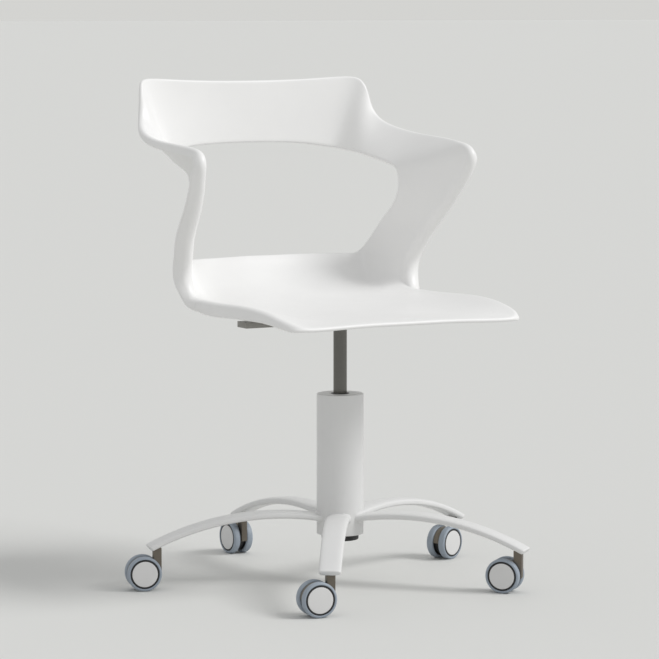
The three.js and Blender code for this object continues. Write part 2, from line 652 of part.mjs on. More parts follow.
// The sliding tube, with a guide hole for the rod below and one for the release pin above.
function pressureTube() {
  const taperBottom = tubeTop - SOCKET_HEIGHT;
  const crownBottom = tubeTop - TUBE_CROWN;
  return turned([
    [ROD_RADIUS + CLEARANCE, TUBE_FOOT_LEVEL],
    [TUBE_RADIUS, TUBE_FOOT_LEVEL],
    [TUBE_RADIUS, taperBottom],
    [TUBE_RADIUS - TUBE_TAPER, tubeTop],
    [RELEASE_PIN_RADIUS + CLEARANCE, tubeTop],
    [RELEASE_PIN_RADIUS + CLEARANCE, crownBottom],
    [boreRadius, crownBottom],
    [boreRadius, TUBE_FOOT_LEVEL + TUBE_END],
    [ROD_RADIUS + CLEARANCE, TUBE_FOOT_LEVEL + TUBE_END],
  ], FINE_SIDES);
}

// The pin that the finger presses, kept in the tube by its collar.
function releasePin() {
  const collarTop = tubeTop - TUBE_CROWN - CLEARANCE;
  const collarFoot = collarTop - RELEASE_COLLAR_HEIGHT;
  return turned([
    [0, collarFoot],
    [RELEASE_COLLAR_RADIUS, collarFoot],
    [RELEASE_COLLAR_RADIUS, collarTop],
    [RELEASE_PIN_RADIUS, collarTop],
    [RELEASE_PIN_RADIUS, fingerBottom - CLEARANCE],
    [0, fingerBottom - CLEARANCE],
  ], SMALL_SIDES);
}

// The rod stands on its collar, which turns on the bearing, and a clip holds its foot.
function pistonRod() {
  const neckTop = clipTop + CLEARANCE;
  const neckBottom = clipTop - CLIP_THICKNESS - CLEARANCE;
  return turned([
    [0, capBottom + CLEARANCE],
    [ROD_RADIUS, capBottom + CLEARANCE],
    [ROD_RADIUS, neckBottom],
    [ROD_NECK_RADIUS, neckBottom],
    [ROD_NECK_RADIUS, neckTop],
    [ROD_RADIUS, neckTop],
    [ROD_RADIUS, collarBottom],
    [COLLAR_RADIUS, collarBottom],
    [COLLAR_RADIUS, collarBottom + COLLAR_HEIGHT],
    [ROD_RADIUS, collarBottom + COLLAR_HEIGHT],
    [ROD_RADIUS, PISTON_LEVEL],
    [ROD_NECK_RADIUS, PISTON_LEVEL],
    [ROD_NECK_RADIUS, PISTON_LEVEL + PISTON_HEIGHT + CLEARANCE],
    [0, PISTON_LEVEL + PISTON_HEIGHT + CLEARANCE],
  ], SMALL_SIDES);
}

function piston() {
  const [bottom, bore] = [PISTON_LEVEL + CLEARANCE, ROD_NECK_RADIUS + CLEARANCE];
  return ring(bore, boreRadius - CLEARANCE, bottom, bottom + PISTON_HEIGHT, FINE_SIDES);
}

function thrustBearing() {
  const bore = ROD_RADIUS + CLEARANCE;
  return ring(bore, BEARING_RADIUS, bearingBottom, bearingBottom + BEARING_HEIGHT, FINE_SIDES);
}

function retainingClip() {
  return ring(ROD_NECK_RADIUS + CLEARANCE, CLIP_RADIUS, clipTop - CLIP_THICKNESS, clipTop, SMALL_SIDES);
}

// The outer tube of the column, closed at the top round the bush.
function columnTube() {
  const inner = COLUMN_RADIUS - COLUMN_WALL;
  const hole = bushSleeve + CLEARANCE;
  const recess = hole + BUSH_FLANGE_WIDTH;
  return turned([
    [inner, COLUMN_FOOT_LEVEL],
    [COLUMN_RADIUS, COLUMN_FOOT_LEVEL],
    [COLUMN_RADIUS, COLUMN_TOP_LEVEL - COLUMN_EDGE_RADIUS],
    [COLUMN_RADIUS - COLUMN_EDGE_RADIUS, COLUMN_TOP_LEVEL],
    [recess, COLUMN_TOP_LEVEL],
    [recess, flangeSeat],
    [hole, flangeSeat],
    [hole, COLUMN_TOP_LEVEL - COLUMN_TOP_THICKNESS],
    [inner, COLUMN_TOP_LEVEL - COLUMN_TOP_THICKNESS],
  ], FINE_SIDES);
}

// The bush that the pressure tube slides and turns in, hung in the column by its flange.
function guideBush() {
  const bore = TUBE_RADIUS + CLEARANCE;
  const seat = flangeSeat + CLEARANCE;
  return turned([
    [bore, seat - BUSH_LENGTH],
    [bushSleeve, seat - BUSH_LENGTH],
    [bushSleeve, seat],
    [bushSleeve + BUSH_FLANGE_WIDTH, seat],
    [bushSleeve + BUSH_FLANGE_WIDTH, seat + BUSH_FLANGE_THICKNESS],
    [bore, seat + BUSH_FLANGE_THICKNESS],
  ], FINE_SIDES);
}

// The plug in the column's foot, which carries the bearing.
function footCap() {
  const plug = COLUMN_RADIUS - COLUMN_WALL - CLEARANCE;
  const plugTop = COLUMN_FOOT_LEVEL + CAP_PLUG_HEIGHT;
  const rodHole = ROD_RADIUS + CLEARANCE;
  return turned([
    [rodHole, capBottom + CAP_RECESS_DEPTH],
    [CAP_RECESS_RADIUS, capBottom + CAP_RECESS_DEPTH],
    [CAP_RECESS_RADIUS, capBottom],
    [CAP_RADIUS - CAP_EDGE_RADIUS, capBottom],
    [CAP_RADIUS, capBottom + CAP_EDGE_RADIUS],
    [CAP_RADIUS, COLUMN_FOOT_LEVEL],
    [plug, COLUMN_FOOT_LEVEL],
    [plug, plugTop],
    [plug - CAP_PLUG_WALL, plugTop],
    [plug - CAP_PLUG_WALL, capFloorTop],
    [rodHole, capFloorTop],
  ], FINE_SIDES);
}

// How far an arm's top line has fallen from its crest, at a distance from the column's axis.
function armFall(reach) {
  return ARM_ARC_RADIUS - Math.sqrt(ARM_ARC_RADIUS ** 2 - (reach - ARM_CREST_REACH) ** 2);
}

// Level of an arm's top line at a distance from the column's axis.
function armTop(reach) {
  return ARM_END_LEVEL + armFall(STEM_REACH) - armFall(reach);
}

// How far a quarter round has turned away from its flat side, at a distance into it.
function quarterRound(radius, into) {
  const share = Math.min(1, Math.max(0, into) / radius);
  return radius * (1 - Math.sqrt(1 - share ** 2));
}

// One flat-oval section of an arm. Its end leans and has round corners, and a fillet meets the column.
function armRing(reach) {
  const taper = Math.max(0, reach - COLUMN_RADIUS) / (armReach - COLUMN_RADIUS);
  const rounded = (radius) => quarterRound(radius, reach - armReach + radius);
  const halfWidth = (ARM_WIDTH * (1 - taper) + ARM_TIP_WIDTH * taper) / 2 - rounded(ARM_END_CORNER);
  const halfThickness = ARM_THICKNESS / 2 - rounded(ARM_END_EDGE);
  const slant = ARM_END_SLANT_SHARE * Math.max(0, 1 - (armReach - reach) / ARM_SLANT_LENGTH) ** 2;
  const flattened = (value) => Math.sign(value) * Math.abs(value) ** ARM_SQUARENESS_SHARE;
  return Array.from({ length: ARM_SIDES }, (_, i) => {
    const angle = ((i + 0.5) * 2 * Math.PI) / ARM_SIDES;
    const across = halfWidth * flattened(Math.cos(angle));
    const columnReach = Math.sqrt(Math.max(0, COLUMN_RADIUS ** 2 - across ** 2));
    const fillet = quarterRound(ARM_WELD_FILLET, columnReach + ARM_WELD_FILLET - reach);
    const depth = ARM_THICKNESS / 2 - (halfThickness + fillet) * flattened(Math.sin(angle));
    const place = reach - slant * depth;
    return new THREE.Vector3(place, across, armTop(place) - depth);
  });
}

// An arm along +X, fitted round the column, with a recess and a blind bore for its castor.
function arm() {
  const weldStart = Math.sqrt(COLUMN_RADIUS ** 2 - (ARM_WIDTH / 2) ** 2) - CLEARANCE;
  const [weldEnd, tipStart] = [COLUMN_RADIUS + ARM_WELD_FILLET, armReach - ARM_END_CORNER];
  const reaches = [COLUMN_RADIUS / 2];
  for (let i = 0; i <= ARM_WELD_STEPS; i++) {
    reaches.push(weldStart + ((weldEnd - weldStart) * i) / ARM_WELD_STEPS);
  }
  for (let i = 1; i < ARM_STEPS; i++) reaches.push(weldEnd + ((tipStart - weldEnd) * i) / ARM_STEPS);
  for (const share of ARM_TIP_SHARES) reaches.push(tipStart + share * ARM_END_CORNER);
  const bar = tubeOfRings(reaches.map(armRing), false);
  const bore = rod(
    STEM_PIN_RADIUS + CLEARANCE,
    stemSeatLevel - OVERRUN,
    stemSeatLevel + STEM_BORE_DEPTH,
    SMALL_SIDES,
  ).translate(STEM_REACH, 0, 0);
  const clearOf = (radius) => (radius + CLEARANCE) / Math.cos(Math.PI / FINE_SIDES);
  const postCorner = Math.hypot(POST_HALF_WIDTH, FORK_THICKNESS / 2);
  const recess = rod(clearOf(postCorner), 0, stemSeatLevel, FINE_SIDES).translate(STEM_REACH, 0, 0);
  const column = rod(clearOf(COLUMN_RADIUS), 0, armTop(ARM_CREST_REACH) + OVERRUN, FINE_SIDES);
  return combined(bar, { cut: [bore, recess, column] });
}

// The castor's post, hood and core in one casting. The wheels trail towards +X.
function castorFork() {
  const hoodStart = Math.acos((POST_HALF_WIDTH - CASTOR_TRAIL) / HOOD_RADIUS);
  const tail = TYRE_RADIUS - POST_TAIL;
  const tailAngle = -Math.PI + Math.asin(POST_TAIL / CORE_RADIUS);
  const outline = new THREE.Shape();
  outline.moveTo(-POST_HALF_WIDTH, tail);
  outline.lineTo(-POST_HALF_WIDTH, postTop);
  outline.lineTo(POST_HALF_WIDTH, postTop);
  outline.absarc(CASTOR_TRAIL, TYRE_RADIUS, HOOD_RADIUS, hoodStart, 0, true);
  outline.absarc(CASTOR_TRAIL, TYRE_RADIUS, CORE_RADIUS, 0, tailAngle, true);
  const axleHole = new THREE.Path();
  axleHole.absarc(CASTOR_TRAIL, TYRE_RADIUS, AXLE_RADIUS + CLEARANCE, 0, 2 * Math.PI);
  outline.holes.push(axleHole);
  const bore = rod(STEM_PIN_RADIUS + CLEARANCE, postTop - STEM_PIN_SEAT, postTop + OVERRUN, SMALL_SIDES);
  return combined(sidePlate(outline, FORK_THICKNESS, WHEEL_SIDES / 2), { cut: [bore] });
}

// The pin that the fork swivels on.
function stemPin() {
  const bottom = postTop - STEM_PIN_SEAT + CLEARANCE;
  return rod(STEM_PIN_RADIUS, bottom, stemSeatLevel + STEM_BORE_DEPTH - CLEARANCE, SMALL_SIDES);
}

function castorAxle() {
  const end = WHEEL_OUTER - AXLE_END_WALL - CLEARANCE;
  return new THREE.CylinderGeometry(AXLE_RADIUS, AXLE_RADIUS, 2 * end, SMALL_SIDES);
}

// A wheel about its own axis, +Z outwards, with a blind bore for the axle.
function castorWheel() {
  const boreTop = WHEEL_OUTER - AXLE_END_WALL;
  const groove = WHEEL_OUTER - WHEEL_GROOVE_DEPTH;
  return turned([
    [AXLE_RADIUS + CLEARANCE, WHEEL_INNER],
    [WHEEL_RADIUS, WHEEL_INNER],
    [WHEEL_RADIUS, groove],
    [WHEEL_DISC_RADIUS, groove],
    [WHEEL_DISC_RADIUS, WHEEL_OUTER],
    [0, WHEEL_OUTER],
    [0, boreTop],
    [AXLE_RADIUS + CLEARANCE, boreTop],
  ], WHEEL_SIDES);
}

// A soft tyre on a wheel's rim.
function castorTyre() {
  const inner = WHEEL_RADIUS + CLEARANCE;
  const shoulder = TYRE_RADIUS - TYRE_EDGE_RADIUS;
  return turned([
    [inner, WHEEL_INNER],
    [shoulder, WHEEL_INNER],
    [TYRE_RADIUS, WHEEL_INNER + TYRE_EDGE_RADIUS],
    [TYRE_RADIUS, WHEEL_OUTER - TYRE_EDGE_RADIUS],
    [shoulder, WHEEL_OUTER],
    [inner, WHEEL_OUTER],
  ], WHEEL_SIDES);
}

function named(name, geometry, finish) {
  const mesh = new THREE.Mesh(geometry, new THREE.MeshStandardMaterial(FINISHES[finish]));
  mesh.name = name;
  return mesh;
}

function seatGroup() {
  const group = new THREE.Group();
  group.add(named("seat_shell", shell(), "shell"));
  group.add(named("seat_plate", seatPlate(), "darkMetal"));
  group.add(named("taper_socket", taperSocket(), "darkMetal"));
  screwPlaces.forEach(([x, y], i) => {
    const screw = named(`seat_screw_${i + 1}`, seatScrew(), "steel");
    screw.position.set(x, y, 0);
    group.add(screw);
  });
  group.add(named("release_lever", lever(), "darkMetal"));
  group.add(named("lever_pin", pivotCylinder(PIVOT_RADIUS, PIVOT_END), "steel"));
  return group;
}

function liftGroup() {
  const group = new THREE.Group();
  group.add(named("pressure_tube", pressureTube(), "darkMetal"));
  group.add(named("release_pin", releasePin(), "steel"));
  group.add(named("piston_rod", pistonRod(), "steel"));
  group.add(named("piston", piston(), "blackPlastic"));
  group.add(named("thrust_bearing", thrustBearing(), "steel"));
  group.add(named("retaining_clip", retainingClip(), "steel"));
  return group;
}

function baseGroup() {
  const group = new THREE.Group();
  group.add(named("column_tube", columnTube(), "whitePaint"));
  group.add(named("guide_bush", guideBush(), "blackPlastic"));
  group.add(named("foot_cap", footCap(), "blackPlastic"));
  return group;
}

// One castor, its swivel axis on Z.
function castorGroup(name) {
  const group = new THREE.Group();
  group.add(named(`${name}_castor_fork`, castorFork(), "castorMetal"));
  group.add(named(`${name}_castor_pin`, stemPin(), "steel"));
  const wheels = new THREE.Group();
  wheels.position.set(CASTOR_TRAIL, 0, TYRE_RADIUS);
  wheels.add(named(`${name}_castor_axle`, castorAxle(), "steel"));
  for (const [side, turn] of [["a", -1], ["b", 1]]) {
    const wheel = new THREE.Group();
    wheel.rotation.x = (turn * Math.PI) / 2;
    wheel.add(named(`${name}_wheel_${side}`, castorWheel(), "wheelPlastic"));
    wheel.add(named(`${name}_tyre_${side}`, castorTyre(), "tyre"));
    wheels.add(wheel);
  }
  group.add(wheels);
  return group;
}

// An arm and its castor, turned to its place round the column.
function armAndCastor({ name, swivelDegrees }, i) {
  const direction = THREE.MathUtils.degToRad(FIRST_ARM_DEGREES + (360 * i) / CASTORS.length - 90);
  const group = new THREE.Group();
  group.rotation.z = direction;
  group.add(named(`${name}_arm`, arm(), "whitePaint"));
  const castor = castorGroup(name);
  castor.position.set(STEM_REACH, 0, 0);
  castor.rotation.z = THREE.MathUtils.degToRad(swivelDegrees) + Math.PI - direction;
  group.add(castor);
  return group;
}

const chair = new THREE.Group();
chair.position.set(COLUMN_X, COLUMN_Y, 0);
chair.add(seatGroup(), liftGroup(), baseGroup(), ...CASTORS.map(armAndCastor));

export default chair;
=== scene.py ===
"""Looks for a swivel chair with a one-piece moulded shell: fine forms, finishes, light and camera."""

import json
import logging
import math
from collections.abc import Callable, Iterable, Sequence
from dataclasses import dataclass
from enum import Enum

import bmesh
import bpy
import numpy as np
from bpy.types import ID, Material, Mesh, Node, NodeSocket, NodeTree, Object
from mathutils import Matrix, Vector
from mathutils.bvhtree import BVHTree


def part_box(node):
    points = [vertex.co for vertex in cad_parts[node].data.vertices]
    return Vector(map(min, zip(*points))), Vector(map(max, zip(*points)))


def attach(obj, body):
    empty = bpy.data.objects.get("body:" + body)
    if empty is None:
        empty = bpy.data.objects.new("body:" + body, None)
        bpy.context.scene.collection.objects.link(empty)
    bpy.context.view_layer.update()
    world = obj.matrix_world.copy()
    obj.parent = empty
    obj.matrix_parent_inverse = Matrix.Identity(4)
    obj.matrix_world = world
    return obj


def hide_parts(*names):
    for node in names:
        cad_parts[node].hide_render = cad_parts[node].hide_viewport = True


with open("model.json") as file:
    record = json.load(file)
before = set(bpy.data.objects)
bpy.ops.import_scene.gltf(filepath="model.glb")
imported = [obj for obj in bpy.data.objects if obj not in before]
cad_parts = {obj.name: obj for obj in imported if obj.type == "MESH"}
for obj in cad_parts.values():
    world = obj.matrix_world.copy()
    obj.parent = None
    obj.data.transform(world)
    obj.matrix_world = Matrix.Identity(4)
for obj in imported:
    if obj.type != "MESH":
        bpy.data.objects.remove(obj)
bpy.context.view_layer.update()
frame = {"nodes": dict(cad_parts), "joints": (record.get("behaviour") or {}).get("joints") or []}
LOG = logging.getLogger("chair")
MM = 0.001
CLEARANCE = 0.3 * MM
FULL_TURN = 2 * math.pi
SHARP_ANGLE = math.radians(40)
FLAT_ANGLE = math.radians(1)
WELD_DISTANCE = 0.001 * MM
HAIR_EDGE = 0.3 * MM
FINE_EDGE = 0.4 * MM
SMALL_EDGE = 0.5 * MM
PIN_EDGE = 0.6 * MM
TURNED_EDGE = 0.8 * MM
BEVEL_SEGMENTS = 3
NEARLY_ALONG = 0.9
SCENE_NODES = frame["nodes"]
JOINTS = {joint["name"]: joint for joint in frame["joints"]}


def middle_of(node: str) -> Vector:
    """Returns the middle of a CAD node's box."""
    low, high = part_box(node)
    return (low + high) / 2


def round_box(node: str) -> tuple[float, float, float]:
    """Returns the radius, foot and top of an upright round CAD node."""
    low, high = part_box(node)
    return (high.x - low.x) / 2, low.z, high.z


COLUMN_AXIS = Vector((*middle_of("column_tube").xy, 0))
SCREW_NUMBERS = (1, 2, 3, 4)


class Surface(Enum):
    """How a finish breaks up close to."""

    MOULDED = "moulded"
    SPRAYED = "sprayed"
    DRAWN = "drawn"
    CAST = "cast"
    RUBBER = "rubber"


def wire(tree: NodeTree, node: Node, **inputs: object) -> None:
    """Sets a node's inputs.

    Args:
        tree: The tree that holds the node.
        node: The node.
        inputs: What each input gets, by name with _ for a space, or by number as n0.
    """
    for key, value in inputs.items():
        number = key[1:]
        socket = node.inputs[int(number) if key[0] == "n" and number.isdigit() else key.replace("_", " ")]
        if isinstance(value, Value):
            value = value.socket
        if isinstance(value, NodeSocket):
            tree.links.new(value, socket)
        else:
            socket.default_value = value


def add_node(tree: NodeTree, kind: str, settings: dict[str, object] | None = None,
             **inputs: object) -> Node:
    """Adds a node to a tree.

    Args:
        tree: The tree.
        kind: The node's type.
        settings: Properties of the node.
        inputs: Its inputs, as wire takes them.

    Returns:
        The node.
    """
    node = tree.nodes.new(kind)
    for key, value in (settings or {}).items():
        setattr(node, key, value)
    wire(tree, node, **inputs)
    return node


@dataclass(frozen=True)
class Value:
    """A number in a node tree. Arithmetic with it adds Math nodes."""

    tree: NodeTree
    socket: NodeSocket

    def op(self, operation: str, second: object = 0.0, third: object = 0.0) -> "Value":
        """Returns the result of one Math node that starts with this number."""
        return math_node(self.tree, operation, self, second, third)

    def __add__(self, other: "Value") -> "Value":
        """Returns the sum."""
        return self.op("ADD", other)

    def __sub__(self, other: "Value") -> "Value":
        """Returns the difference."""
        return self.op("SUBTRACT", other)

    def __rsub__(self, other: float) -> "Value":
        """Returns what is left of a plain number without this one."""
        return math_node(self.tree, "SUBTRACT", other, self)

    def __mul__(self, other: "Value | float") -> "Value":
        """Returns the product."""
        return self.op("MULTIPLY", other)

    def __truediv__(self, other: "Value | float") -> "Value":
        """Returns the quotient."""
        return self.op("DIVIDE", other)

    def __rtruediv__(self, other: float) -> "Value":
        """Returns a plain number's quotient by this one."""
        return math_node(self.tree, "DIVIDE", other, self)

    def __pow__(self, other: "Value | float") -> "Value":
        """Returns the power."""
        return self.op("POWER", other)


def math_node(tree: NodeTree, operation: str, *numbers: object) -> Value:
    """Returns the result of one Math node."""
    inputs = {f"n{i}": number for i, number in enumerate(numbers)}
    return Value(tree, add_node(tree, "ShaderNodeMath", {"operation": operation}, **inputs).outputs[0])


@dataclass(frozen=True)
class Finish:
    """One finish of the chair: its colour, gloss and fine surface."""

    name: str
    slot: str
    colour: tuple[float, float, float]
    surface: Surface
    roughness: float
    metallic: float = 0.0
    tint: float = 0.03
    gloss_spread: float = 0.06
    cloud_size: float = 90 * MM
    mark_size: float = 18 * MM
    grain_size: float = 0.6 * MM
    grain_depth: float = 0.01 * MM
    drawn_share: float = 0.04
    cloud_detail: float = 3
    mark_detail: float = 5
    grain_detail: float = 2
    noise_low: float = 0.3
    noise_high: float = 0.7

    def material(self) -> Material:
        """Makes the finish a node material, once.

        Returns:
            The material. Its shade, gloss and relief vary a little over the surface.
        """
        known = bpy.data.materials.get(self.name)
        if known:
            return known
        material = bpy.data.materials.new(self.name)
        material.use_nodes = True
        tree = material.node_tree
        place = add_node(tree, "ShaderNodeTexCoord").outputs["Object"]
        along = self.drawn_out(tree, place)
        cloud = self.noise(tree, place, self.cloud_size, self.cloud_detail)
        # The Mix node's two colours are its inputs 6 and 7, and the mixed colour is its output 2.
        colour = add_node(tree, "ShaderNodeMix", {"data_type": "RGBA", "blend_type": "MULTIPLY"},
                          n0=1, n6=(*self.colour, 1), n7=self.spread(tree, cloud, 1, self.tint))
        marks = self.noise(tree, along, self.mark_size, self.mark_detail)
        gloss = self.spread(tree, marks, self.roughness, self.gloss_spread)
        grain = self.noise(tree, along, self.grain_size, self.grain_detail)
        relief = add_node(tree, "ShaderNodeBump", Distance=self.grain_depth, Strength=1, Height=grain)
        wire(tree, tree.nodes["Principled BSDF"], Metallic=self.metallic, Base_Color=colour.outputs[2],
             Roughness=gloss, Normal=relief.outputs[0])
        return material

    def drawn_out(self, tree: NodeTree, place: NodeSocket) -> NodeSocket:
        """Draws the place out along Z where the surface is drawn metal.

        Args:
            tree: The material's nodes.
            place: The place on the piece.

        Returns:
            The socket to read fine patterns at.
        """
        if self.surface is not Surface.DRAWN:
            return place
        return add_node(tree, "ShaderNodeMapping", Vector=place, Scale=(1, 1, self.drawn_share)).outputs[0]

    def noise(self, tree: NodeTree, place: NodeSocket, size: float,
              detail: float) -> NodeSocket:
        """Returns a noise whose lumps are about a size in metres, with a number of finer layers."""
        return add_node(tree, "ShaderNodeTexNoise", Vector=place, Scale=1 / size, Detail=detail).outputs[0]

    def spread(self, tree: NodeTree, value: NodeSocket, middle: float,
               spread: float) -> NodeSocket:
        """Returns a noise value moved to a narrow range round a middle."""
        return add_node(tree, "ShaderNodeMapRange", Value=value, From_Min=self.noise_low,
                        From_Max=self.noise_high, To_Min=middle - spread, To_Max=middle + spread).outputs[0]


SHELL_PLASTIC = Finish("white_moulding", "shell", (0.86, 0.855, 0.845), Surface.MOULDED, 0.42,
                       tint=0.012, grain_size=0.9 * MM, grain_depth=0.012 * MM)
# Painted shade: the coat's white is set darker than the shell's to stand in for the seat's shadow over the
# column and arms.
WHITE_COAT = Finish("white_powder_coat", "white_paint", (0.74, 0.738, 0.732), Surface.SPRAYED, 0.38,
                    tint=0.012, grain_size=1.6 * MM, grain_depth=0.03 * MM)
BLACK_PLASTIC = Finish("black_moulding", "black_plastic", (0.012, 0.012, 0.013), Surface.MOULDED, 0.45)
DARK_TUBE = Finish("dark_drawn_tube", "dark_metal", (0.15, 0.146, 0.135), Surface.DRAWN, 0.22,
                   metallic=0.9, grain_size=0.5 * MM, grain_depth=0.004 * MM)
DARK_SHEET = Finish("dark_sheet_metal", "dark_metal", (0.27, 0.262, 0.245), Surface.CAST, 0.42,
                    metallic=0.8)
ZINC = Finish("bright_zinc", "steel", (0.6, 0.6, 0.58), Surface.DRAWN, 0.3, metallic=1, tint=0.06)
CASTOR_METAL = Finish("castor_casting", "castor_metal", (0.17, 0.15, 0.125), Surface.CAST, 0.34,
                      metallic=0.85, tint=0.08, grain_size=0.8 * MM, grain_depth=0.02 * MM)
DISC_PLASTIC = Finish("disc_moulding", "wheel_plastic", (0.69, 0.685, 0.68), Surface.MOULDED, 0.36,
                      tint=0.02)
TYRE_RUBBER = Finish("tyre_rubber", "tyre", (0.31, 0.355, 0.41), Surface.RUBBER, 0.55, tint=0.05,
                     grain_size=0.7 * MM, grain_depth=0.03 * MM)


@dataclass
class Form:
    """A mesh in the making: points in metres and the faces between them."""

    points: np.ndarray
    faces: list[tuple[int, ...]]

    @classmethod
    def turned(cls, outline: Sequence[Sequence[float]], place: Matrix | None = None,
               sides: int = 96) -> "Form":
        """Turns an outline about Z.

        Args:
            outline: Points of radius, level and, if rounded there, a fillet radius. It closes on itself.
            place: Where the turned form goes.
            sides: Number of steps round.

        Returns:
            The closed form.
        """
        profile = rounded_outline(outline)
        angles = np.linspace(0, FULL_TURN, sides, endpoint=False)
        points = np.array([(r * math.cos(a), r * math.sin(a), z) for a in angles for r, z in profile])
        count = len(profile)
        faces = []
        for i in range(sides):
            here, there = i * count, ((i + 1) % sides) * count
            for j in range(count):
                following = (j + 1) % count
                if profile[j][0] < WELD_DISTANCE and profile[following][0] < WELD_DISTANCE:
                    continue
                faces.append((here + j, there + j, there + following, here + following))
        return cls(points, faces).moved(place or Matrix.Identity(4))

    @classmethod
    def disc(cls, radius: float, half: float, edge: float, place: Matrix, sides: int = 96) -> "Form":
        """Makes a disc of a half thickness to either side of Z = 0, with rounded edges."""
        return cls.turned(((0, -half), (radius, -half, edge), (radius, half, edge), (0, half)), place, sides)

    @classmethod
    def plate(cls, outline: Sequence[Sequence[float]], thickness: float, place: Matrix) -> "Form":
        """Makes a flat plate, centred on Z = 0.

        Args:
            outline: Points of X, Y and, if rounded there, a fillet radius. It closes on itself.
            thickness: The plate's thickness.
            place: Where the plate goes.

        Returns:
            The closed form.
        """
        profile = rounded_outline(outline)
        count = len(profile)
        points = np.array([(x, y, side * thickness / 2) for side in (-1, 1) for x, y in profile])
        faces = [tuple(range(count))[::-1], tuple(range(count, 2 * count))]
        faces += [(i, (i + 1) % count, count + (i + 1) % count, count + i) for i in range(count)]
        return cls(points, faces).moved(place)

    def moved(self, place: Matrix) -> "Form":
        """Returns the form at a place."""
        turn = np.array(place.to_3x3())
        return Form(self.points @ turn.T + np.array(place.translation), self.faces)

    def joined(self, others: Iterable["Form"]) -> "Form":
        """Joins other forms to this one.

        Args:
            others: The other forms.

        Returns:
            All of them as one form.
        """
        points, faces = [self.points], list(self.faces)
        start = len(self.points)
        for other in others:
            points.append(other.points)
            faces += [tuple(i + start for i in face) for face in other.faces]
            start += len(other.points)
        return Form(np.concatenate(points), faces)

    def piece(self, name: str, finish: Finish, bevel: float = 0.0) -> Object:
        """Returns the form as a new Blender object with its finish, in the scene."""
        return dressed(self.mesh(name), name, finish, bevel)

    def mesh(self, name: str) -> Mesh:
        """Makes the form a mesh.

        Args:
            name: The mesh's name.

        Returns:
            The mesh, with its doubled points merged and its faces outwards.
        """
        mesh = bpy.data.meshes.new(name)
        mesh.from_pydata([tuple(point) for point in self.points], [], self.faces)
        clean(mesh)
        return mesh

    def put(self, name: str, finish: Finish, body: str, *nodes: str, bevel: float = 0.0) -> None:
        """Makes the form a piece that rides on a body and stands for CAD nodes."""
        adopt(self.piece(name, finish, bevel), body, finish, *nodes)


def clean(mesh: Mesh) -> None:
    """Merges doubled points of a mesh and turns its faces outwards.

    Args:
        mesh: The mesh, which is changed.
    """
    work = bmesh.new()
    work.from_mesh(mesh)
    bmesh.ops.remove_doubles(work, verts=work.verts, dist=WELD_DISTANCE)
    bmesh.ops.dissolve_degenerate(work, edges=work.edges, dist=WELD_DISTANCE)
    bmesh.ops.recalc_face_normals(work, faces=work.faces)
    if work.calc_volume(signed=True) < 0:
        bmesh.ops.reverse_faces(work, faces=work.faces)
    work.to_mesh(mesh)
    work.free()


def evaluated_mesh(piece: Object) -> Mesh:
    """Returns what a piece's modifiers make of it, as a mesh of its own."""
    bpy.context.view_layer.update()
    return bpy.data.meshes.new_from_object(piece.evaluated_get(bpy.context.evaluated_depsgraph_get()))


def dressed(mesh: Mesh, name: str, finish: Finish, bevel: float = 0.0) -> Object:
    """Puts a mesh in the scene with its finish, smooth between its sharp edges.

    Args:
        mesh: The mesh.
        name: The piece's name.
        finish: Its finish.
        bevel: Width of a bevel on every sharp edge, in metres, or zero.

    Returns:
        The new object.
    """
    piece = bpy.data.objects.new(name, mesh)
    bpy.context.scene.collection.objects.link(piece)
    mesh.materials.clear()
    mesh.materials.append(finish.material())
    if bevel:
        modifier = piece.modifiers.new("soft edges", "BEVEL")
        modifier.width = bevel
        modifier.segments = BEVEL_SEGMENTS
        modifier.limit_method = "ANGLE"
        modifier.angle_limit = SHARP_ANGLE
        settled = evaluated_mesh(piece)
        piece.modifiers.clear()
        piece.data = settled
        settled.name = name
    piece.data.shade_smooth()
    piece.data.set_sharp_from_angle(angle=SHARP_ANGLE)
    return piece


def softened(node: str, finish: Finish, bevel: float) -> Object:
    """Copies a CAD node, joins its flat faces and rounds its edges.

    Args:
        node: The node.
        finish: The copy's finish.
        bevel: Width of the rounded edges, in metres.

    Returns:
        The copy.
    """
    mesh = SCENE_NODES[node].data.copy()
    work = bmesh.new()
    work.from_mesh(mesh)
    bmesh.ops.remove_doubles(work, verts=work.verts, dist=WELD_DISTANCE)
    bmesh.ops.dissolve_limit(work, angle_limit=FLAT_ANGLE, verts=work.verts, edges=work.edges)
    bmesh.ops.recalc_face_normals(work, faces=work.faces)
    work.to_mesh(mesh)
    work.free()
    return dressed(mesh, f"{node}_fine", finish, bevel)


def rounded_outline(outline: Sequence[Sequence[float]], steps: int = 5) -> list[tuple[float, float]]:
    """Rounds the corners of a closed outline that have a third value, their fillet's radius.

    Args:
        outline: Corners in order.
        steps: Steps in each fillet.

    Returns:
        The outline's points.
    """
    corners = [Vector(corner[:2]) for corner in outline]
    points = []
    for i, corner in enumerate(outline):
        here = corners[i]
        if len(corner) < 3:
            points.append(tuple(here))
            continue
        back = (corners[i - 1] - here).normalized()
        forth = (corners[(i + 1) % len(corners)] - here).normalized()
        half = back.angle(forth) / 2
        reach = corner[2] / math.tan(half)
        centre = here + (back + forth).normalized() * corner[2] / math.sin(half)
        start, end = here + back * reach - centre, here + forth * reach - centre
        first = math.atan2(start.y, start.x)
        sweep = math.remainder(math.atan2(end.y, end.x) - first, FULL_TURN)
        for step in range(steps + 1):
            angle = first + sweep * step / steps
            points.append(tuple(centre + corner[2] * Vector((math.cos(angle), math.sin(angle)))))
    return points


